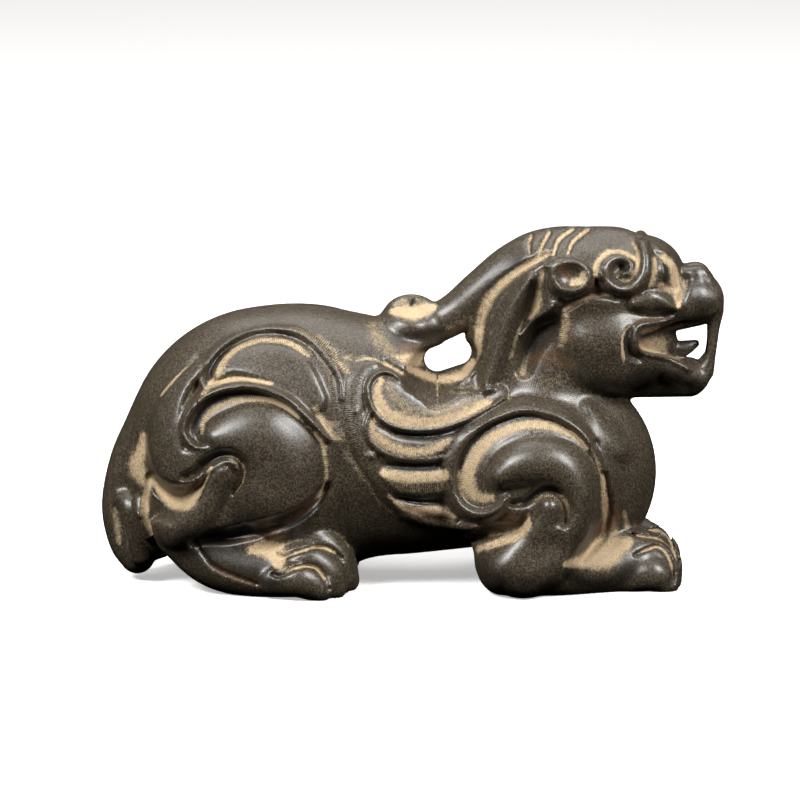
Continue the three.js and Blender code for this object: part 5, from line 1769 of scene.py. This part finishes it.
@dataclass
class Beast:
    """The whole carving: its parts, its surface, and its finish."""

    step: float = 0.4
    most_triangles: int = 190_000
    trunk: Trunk = Trunk()
    neck: Neck = Neck()
    head: Head = Head()
    crest: Crest = Crest()
    hind_leg: HindLeg = HindLeg()
    foreleg: Foreleg = Foreleg()
    tail: Tail = Tail()
    haunch: Haunch = Haunch()
    wing: Wing = Wing()
    shoulder: Shoulder = Shoulder()
    finish: StoneFinish = StoneFinish()
    flank_drawing: Relief = field(default_factory=lambda: Relief(7, 12))
    head_drawing: Relief = field(default_factory=lambda: Relief(2, 6))
    crest_drawing: Relief = field(default_factory=lambda: Relief(0.3, 1.6))
    paw_drawing: Relief = field(default_factory=lambda: Relief(-0.1, 0.1))

    def draw(self) -> None:
        """Draws the relief and the stains of each part."""
        drawn = (
            (self.flank_drawing, self.haunch.relief, self.haunch.stains),
            (self.flank_drawing, self.wing.relief(), self.wing.stains),
            (self.flank_drawing, self.shoulder.relief, self.shoulder.stains),
            (self.flank_drawing, self.foreleg.relief, ()),
            (self.head_drawing, self.neck.relief, self.neck.stains),
            (self.head_drawing, self.head.relief, self.head.stains),
            (self.head_drawing, (), self.tail.stains),
            (self.crest_drawing, self.crest.relief, self.crest.stains),
            (self.paw_drawing, self.hind_leg.lines, self.hind_leg.stains),
            (self.paw_drawing, self.foreleg.lines, self.foreleg.stains),
        )
        for drawing, strokes, stains in drawn:
            for stroke in strokes:
                drawing.carve(stroke)
            for stain in stains:
                drawing.stain(stain)
        for drawing in (self.flank_drawing, self.head_drawing):
            drawing.soften()

    def carve(self) -> Block:
        """Carves the block in the order of the work: body, legs, flank, head, crest, paws."""
        block = Block(self.step)
        for part in (self.trunk, self.neck, self.tail, self.hind_leg, self.foreleg):
            part.carve(block)
        block.emboss(self.flank_drawing)
        self.head.carve(block)
        self.crest.carve(block)
        for drawing in (self.head_drawing, self.crest_drawing, self.paw_drawing):
            block.emboss(drawing)
        block.stand()
        return block

    def build(self, box: tuple[Vector, Vector]) -> bpy.types.Object:
        """Carves the beast, traces it, thins it, fits it to the solid's box and dresses it.

        Args:
            box: The lowest and highest corners of the solid, in metres.

        Returns:
            The beast's object.
        """
        self.draw()
        block = self.carve()
        whole = block.whole()
        low = (block.low[0], -block.axes[1][-1], block.low[2])
        surface = Surface(whole, low, self.step)
        log.info("traced %d corners and %d faces", len(surface.corners), len(surface.faces))
        obj = self.make_object(surface)
        places = np.empty(len(obj.data.vertices) * 3, np.float32)
        obj.data.vertices.foreach_get("co", places)
        places = places.reshape(-1, 3)
        self.mark(obj.data, surface, places)
        lowest, highest = places.min(0), places.max(0)
        target_low, target_high = np.array(box[0]), np.array(box[1])
        size = (target_high - target_low) / (highest - lowest)
        fitted = target_low + (places - lowest) * size
        obj.data.vertices.foreach_set("co", fitted.astype(np.float32).ravel())
        obj.data.update()
        obj.data.materials.append(self.dress())
        log.info("fitted by %s per millimetre", np.round(size, 6))
        return obj

    def make_object(self, surface: Surface) -> bpy.types.Object:
        """Puts the surface into a mesh, in millimetres, and thins it to most_triangles."""
        mesh = bpy.data.meshes.new("traced")
        mesh.from_pydata(surface.corners.astype(np.float32), [], surface.faces.tolist())
        mesh.update()
        obj = bpy.data.objects.new("carved_beast", mesh)
        bpy.context.scene.collection.objects.link(obj)
        share = self.most_triangles / (2 * len(surface.faces))
        if share < 1:
            thin = obj.modifiers.new("thin", "DECIMATE")
            thin.ratio = share
            depsgraph = bpy.context.evaluated_depsgraph_get()
            thinned = bpy.data.meshes.new_from_object(obj.evaluated_get(depsgraph))
            obj.modifiers.clear()
            obj.data = thinned
            bpy.data.meshes.remove(mesh)
        obj.data.name = "carved_beast"
        obj.data.polygons.foreach_set("use_smooth", np.ones(len(obj.data.polygons), bool))
        log.info("thinned to %d faces", len(obj.data.polygons))
        return obj

    def mark(self, mesh: bpy.types.Mesh, surface: Surface, places: Array) -> None:
        """Writes the numbers that the finish reads at each corner of the mesh.

        Formula: how hollow a place is, is twice the share of stone in the blurred block about
        it, less one. Earth, painted shade and hatching are read from the drawings.

        Args:
            mesh: The mesh.
            surface: The traced surface, with its field.
            places: The corners, in millimetres.
        """
        stone = np.clip(0.5 - surface.field_values / self.step, 0, 1)
        fine = blur(stone, 2, (0, 1, 2))
        broad = blur(fine, 6, (0, 1, 2))
        x, s, z = places[:, 0], np.abs(places[:, 1]), places[:, 2]
        marks = {
            "hollow": 2 * surface.read(fine, places) - 1,
            "broad": 2 * surface.read(broad, places) - 1,
        }
        for name in ("earth", "rust", "dark", "hatch"):
            marks[name] = np.zeros(len(places), np.float32)
        along = np.zeros(len(places), np.float32)
        for drawing in (self.flank_drawing, self.head_drawing, self.crest_drawing, self.paw_drawing):
            strength = drawing.strength(s)
            hatch = drawing.read(drawing.hatch, x, s, z) * strength
            along = np.where(hatch > marks["hatch"], drawing.read(drawing.along, x, s, z), along)
            marks["hatch"] = np.maximum(marks["hatch"], hatch)
            for name in ("earth", "rust", "dark"):
                found = drawing.read(getattr(drawing, name), x, s, z) * strength
                marks[name] = np.maximum(marks[name], found)
        marks["along"] = along
        for name, numbers in marks.items():
            layer = mesh.attributes.new(name, "FLOAT", "POINT")
            layer.data.foreach_set("value", numbers.astype(np.float32))

    def dress(self) -> bpy.types.Material:
        """Makes the stone's material.

        Formula: the stone is a fine grain of two browns, darkened where the drawings paint shade.
        Earth lies where the drawings or the hollows put it, broken up by noise and crossed by the
        graver's cuts, a sine of the way along each stroke; where it is thin it is brown, and where
        it is thick it is tan. Earth is rough and stone polished; grain and cuts are bumps.

        Returns:
            The material.
        """
        finish = self.finish
        material = bpy.data.materials.new("polished_stone")
        material.use_nodes = True
        nodes = Nodes(material.node_tree)
        shader = material.node_tree.nodes["Principled BSDF"]
        place = nodes.add("ShaderNodeTexCoord").outputs["Object"]
        mottle = nodes.noise(place, 4.0, 5)
        ragged = nodes.noise(place, 0.9, 4)
        grain = nodes.noise(place, 0.38, 3)
        hollow = nodes.attribute("hollow")
        broad = nodes.attribute("broad")
        dark = nodes.attribute("dark")
        turn = nodes.math("MULTIPLY", nodes.attribute("along"), 2 * math.pi / finish.pitch)
        cuts = nodes.math("SINE", nodes.math("MULTIPLY_ADD", ragged, 9.0, turn))
        cuts = nodes.math("MULTIPLY", nodes.remap(cuts, -0.8, 0.8), nodes.attribute("hatch"))
        settled = nodes.math("ADD", nodes.remap(hollow, 0.02, 0.5), nodes.remap(broad, 0.1, 0.7))
        wish = nodes.math("MULTIPLY_ADD", settled, 0.3, nodes.attribute("earth"))
        wish = nodes.math("MULTIPLY_ADD", dark, -0.8, wish)
        wish = nodes.math("MULTIPLY_ADD", cuts, -0.35, wish)
        wish = nodes.math("ADD", wish, nodes.math("MULTIPLY_ADD", ragged, 0.8, -0.4))
        wish = nodes.math("ADD", wish, nodes.math("MULTIPLY_ADD", grain, 0.9, -0.45))
        earth = nodes.remap(wish, 0.05, 1.05)
        stone = nodes.mix(nodes.remap(grain, 0.36, 0.7), finish.dark, finish.light)
        stone = nodes.mix(nodes.remap(mottle, 0.35, 0.7, 0.35, 0), stone, finish.dark)
        # Painted shade: the stone is darkened where the drawings mark shade in grooves and undersides.
        stone = nodes.mix(nodes.math("MULTIPLY", dark, 0.85), stone, finish.painted_shade_colour)
        soil = nodes.mix(nodes.remap(earth, 0.35, 1.0), finish.dust, finish.earth)
        soil = nodes.mix(nodes.remap(grain, 0.6, 0.35, 0, 0.35), soil, finish.dust)
        colour = nodes.mix(nodes.remap(earth, 0.0, 0.5), stone, soil)
        rusty = nodes.math("MULTIPLY", nodes.attribute("rust"), nodes.remap(ragged, 0.25, 0.6))
        colour = nodes.mix(nodes.math("MULTIPLY", rusty, 0.75), colour, finish.rust)
        material.node_tree.links.new(colour, shader.inputs["Base Color"])
        rough = nodes.remap(earth, 0.1, 0.8, finish.polish, finish.chalk)
        rough = nodes.math("ADD", rough, nodes.math("MULTIPLY_ADD", grain, 0.3, -0.15))
        material.node_tree.links.new(rough, shader.inputs["Roughness"])
        depth = nodes.math("MULTIPLY_ADD", cuts, -0.9, nodes.math("MULTIPLY", grain, 0.7))
        depth = nodes.math("ADD", depth, nodes.math("MULTIPLY", ragged, 0.5))
        bump = nodes.add("ShaderNodeBump", {"Height": depth, "Strength": 0.6, "Distance": 0.06 * METRES})
        material.node_tree.links.new(bump.outputs[0], shader.inputs["Normal"])
        return material


@dataclass(frozen=True)
class Lamp:
    """A soft box: where it stands, how large it is, and how strong, in metres and watts."""

    name: str
    place: Point
    size: tuple[float, float]
    watts: float


@dataclass
class Studio:
    """The pale floor, the soft light and the camera, in metres."""

    floor_radius: float = 4.0
    floor_colour: Colour = (0.86, 0.85, 0.84)
    floor_glow: float = 0.5
    air: float = 0.22
    air_below: float = 0.0
    aim: Point = (-0.0024, 0.0, 0.03656)
    elevation: float = 10.0
    distance: float = 1.4
    lens: float = 314.0
    lamps: tuple[Lamp, ...] = (
        Lamp("left_softbox", (-0.42, -0.46, 0.58), (0.3, 0.3), 12.0),
        Lamp("right_softbox", (0.5, -0.4, 0.55), (0.16, 0.36), 10.0),
        Lamp("top_softbox", (0.0, 0.15, 0.8), (0.7, 0.5), 4.0),
    )

    def build(self) -> None:
        """Sets up the floor, the light and the camera."""
        self.lay_floor()
        self.light()
        self.set_camera()

    def lay_floor(self) -> None:
        """Lays the floor: a flat disc whose rim points each stand at the radius and a turn."""
        turns = np.linspace(0, 2 * math.pi, 96, endpoint=False)
        rim = np.stack([np.cos(turns), np.sin(turns), np.zeros_like(turns)], 1) * self.floor_radius
        mesh = bpy.data.meshes.new("floor")
        mesh.from_pydata(rim, [], [list(range(len(rim)))])
        mesh.update()
        floor = bpy.data.objects.new("floor", mesh)
        bpy.context.scene.collection.objects.link(floor)
        material = bpy.data.materials.new("pale_floor")
        material.use_nodes = True
        shader = material.node_tree.nodes["Principled BSDF"]
        shader.inputs["Base Color"].default_value = (*self.floor_colour, 1)
        shader.inputs["Roughness"].default_value = 0.9
        shader.inputs["Emission Color"].default_value = (*self.floor_colour, 1)
        shader.inputs["Emission Strength"].default_value = self.floor_glow
        mesh.materials.append(material)
        floor.visible_diffuse = False
        floor.visible_glossy = False

    def light(self) -> None:
        """Fills the air with pale light and sets the soft boxes, each turned to the beast."""
        scene = bpy.context.scene
        world = bpy.data.worlds.new("studio_air")
        world.use_nodes = True
        nodes = Nodes(world.node_tree)
        background = world.node_tree.nodes["Background"]
        background.inputs["Color"].default_value = (1, 0.99, 0.97, 1)
        facing = nodes.add("ShaderNodeTexCoord").outputs["Generated"]
        height = nodes.add("ShaderNodeSeparateXYZ", {0: facing}).outputs["Z"]
        strength = nodes.remap(height, -0.1, 0.8, self.air_below, self.air)
        world.node_tree.links.new(strength, background.inputs["Strength"])
        scene.world = world
        for lamp in self.lamps:
            light = bpy.data.lights.new(lamp.name, "AREA")
            light.shape = "RECTANGLE"
            light.size, light.size_y = lamp.size
            light.energy = lamp.watts
            holder = bpy.data.objects.new(lamp.name, light)
            holder.location = lamp.place
            facing = Vector(self.aim) - Vector(lamp.place)
            holder.rotation_euler = facing.to_track_quat("-Z", "Y").to_euler()
            scene.collection.objects.link(holder)

    def set_camera(self) -> None:
        """Sets the camera in front of the beast's side, a little above it."""
        camera = bpy.data.cameras.new("camera")
        camera.sensor_width = 36
        camera.lens = self.lens
        camera.clip_end = 20
        holder = bpy.data.objects.new("camera", camera)
        rise = math.radians(self.elevation)
        away = Vector((0, -math.cos(rise), math.sin(rise))) * self.distance
        holder.location = Vector(self.aim) + away
        holder.rotation_euler = (-away).to_track_quat("-Z", "Y").to_euler()
        bpy.context.scene.collection.objects.link(holder)
        bpy.context.scene.camera = holder


def main() -> None:
    """Builds the beast and the studio."""
    logging.basicConfig(level=logging.INFO, format="%(name)s: %(message)s")
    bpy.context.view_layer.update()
    beast = Beast().build(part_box("beast"))
    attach(beast, "root")
    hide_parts("beast")
    log.info("built %s with %d faces", beast.name, len(beast.data.polygons))
    Studio().build()
    bpy.context.scene.view_settings.view_transform = "Standard"


if __name__ == "__main__":
    main()
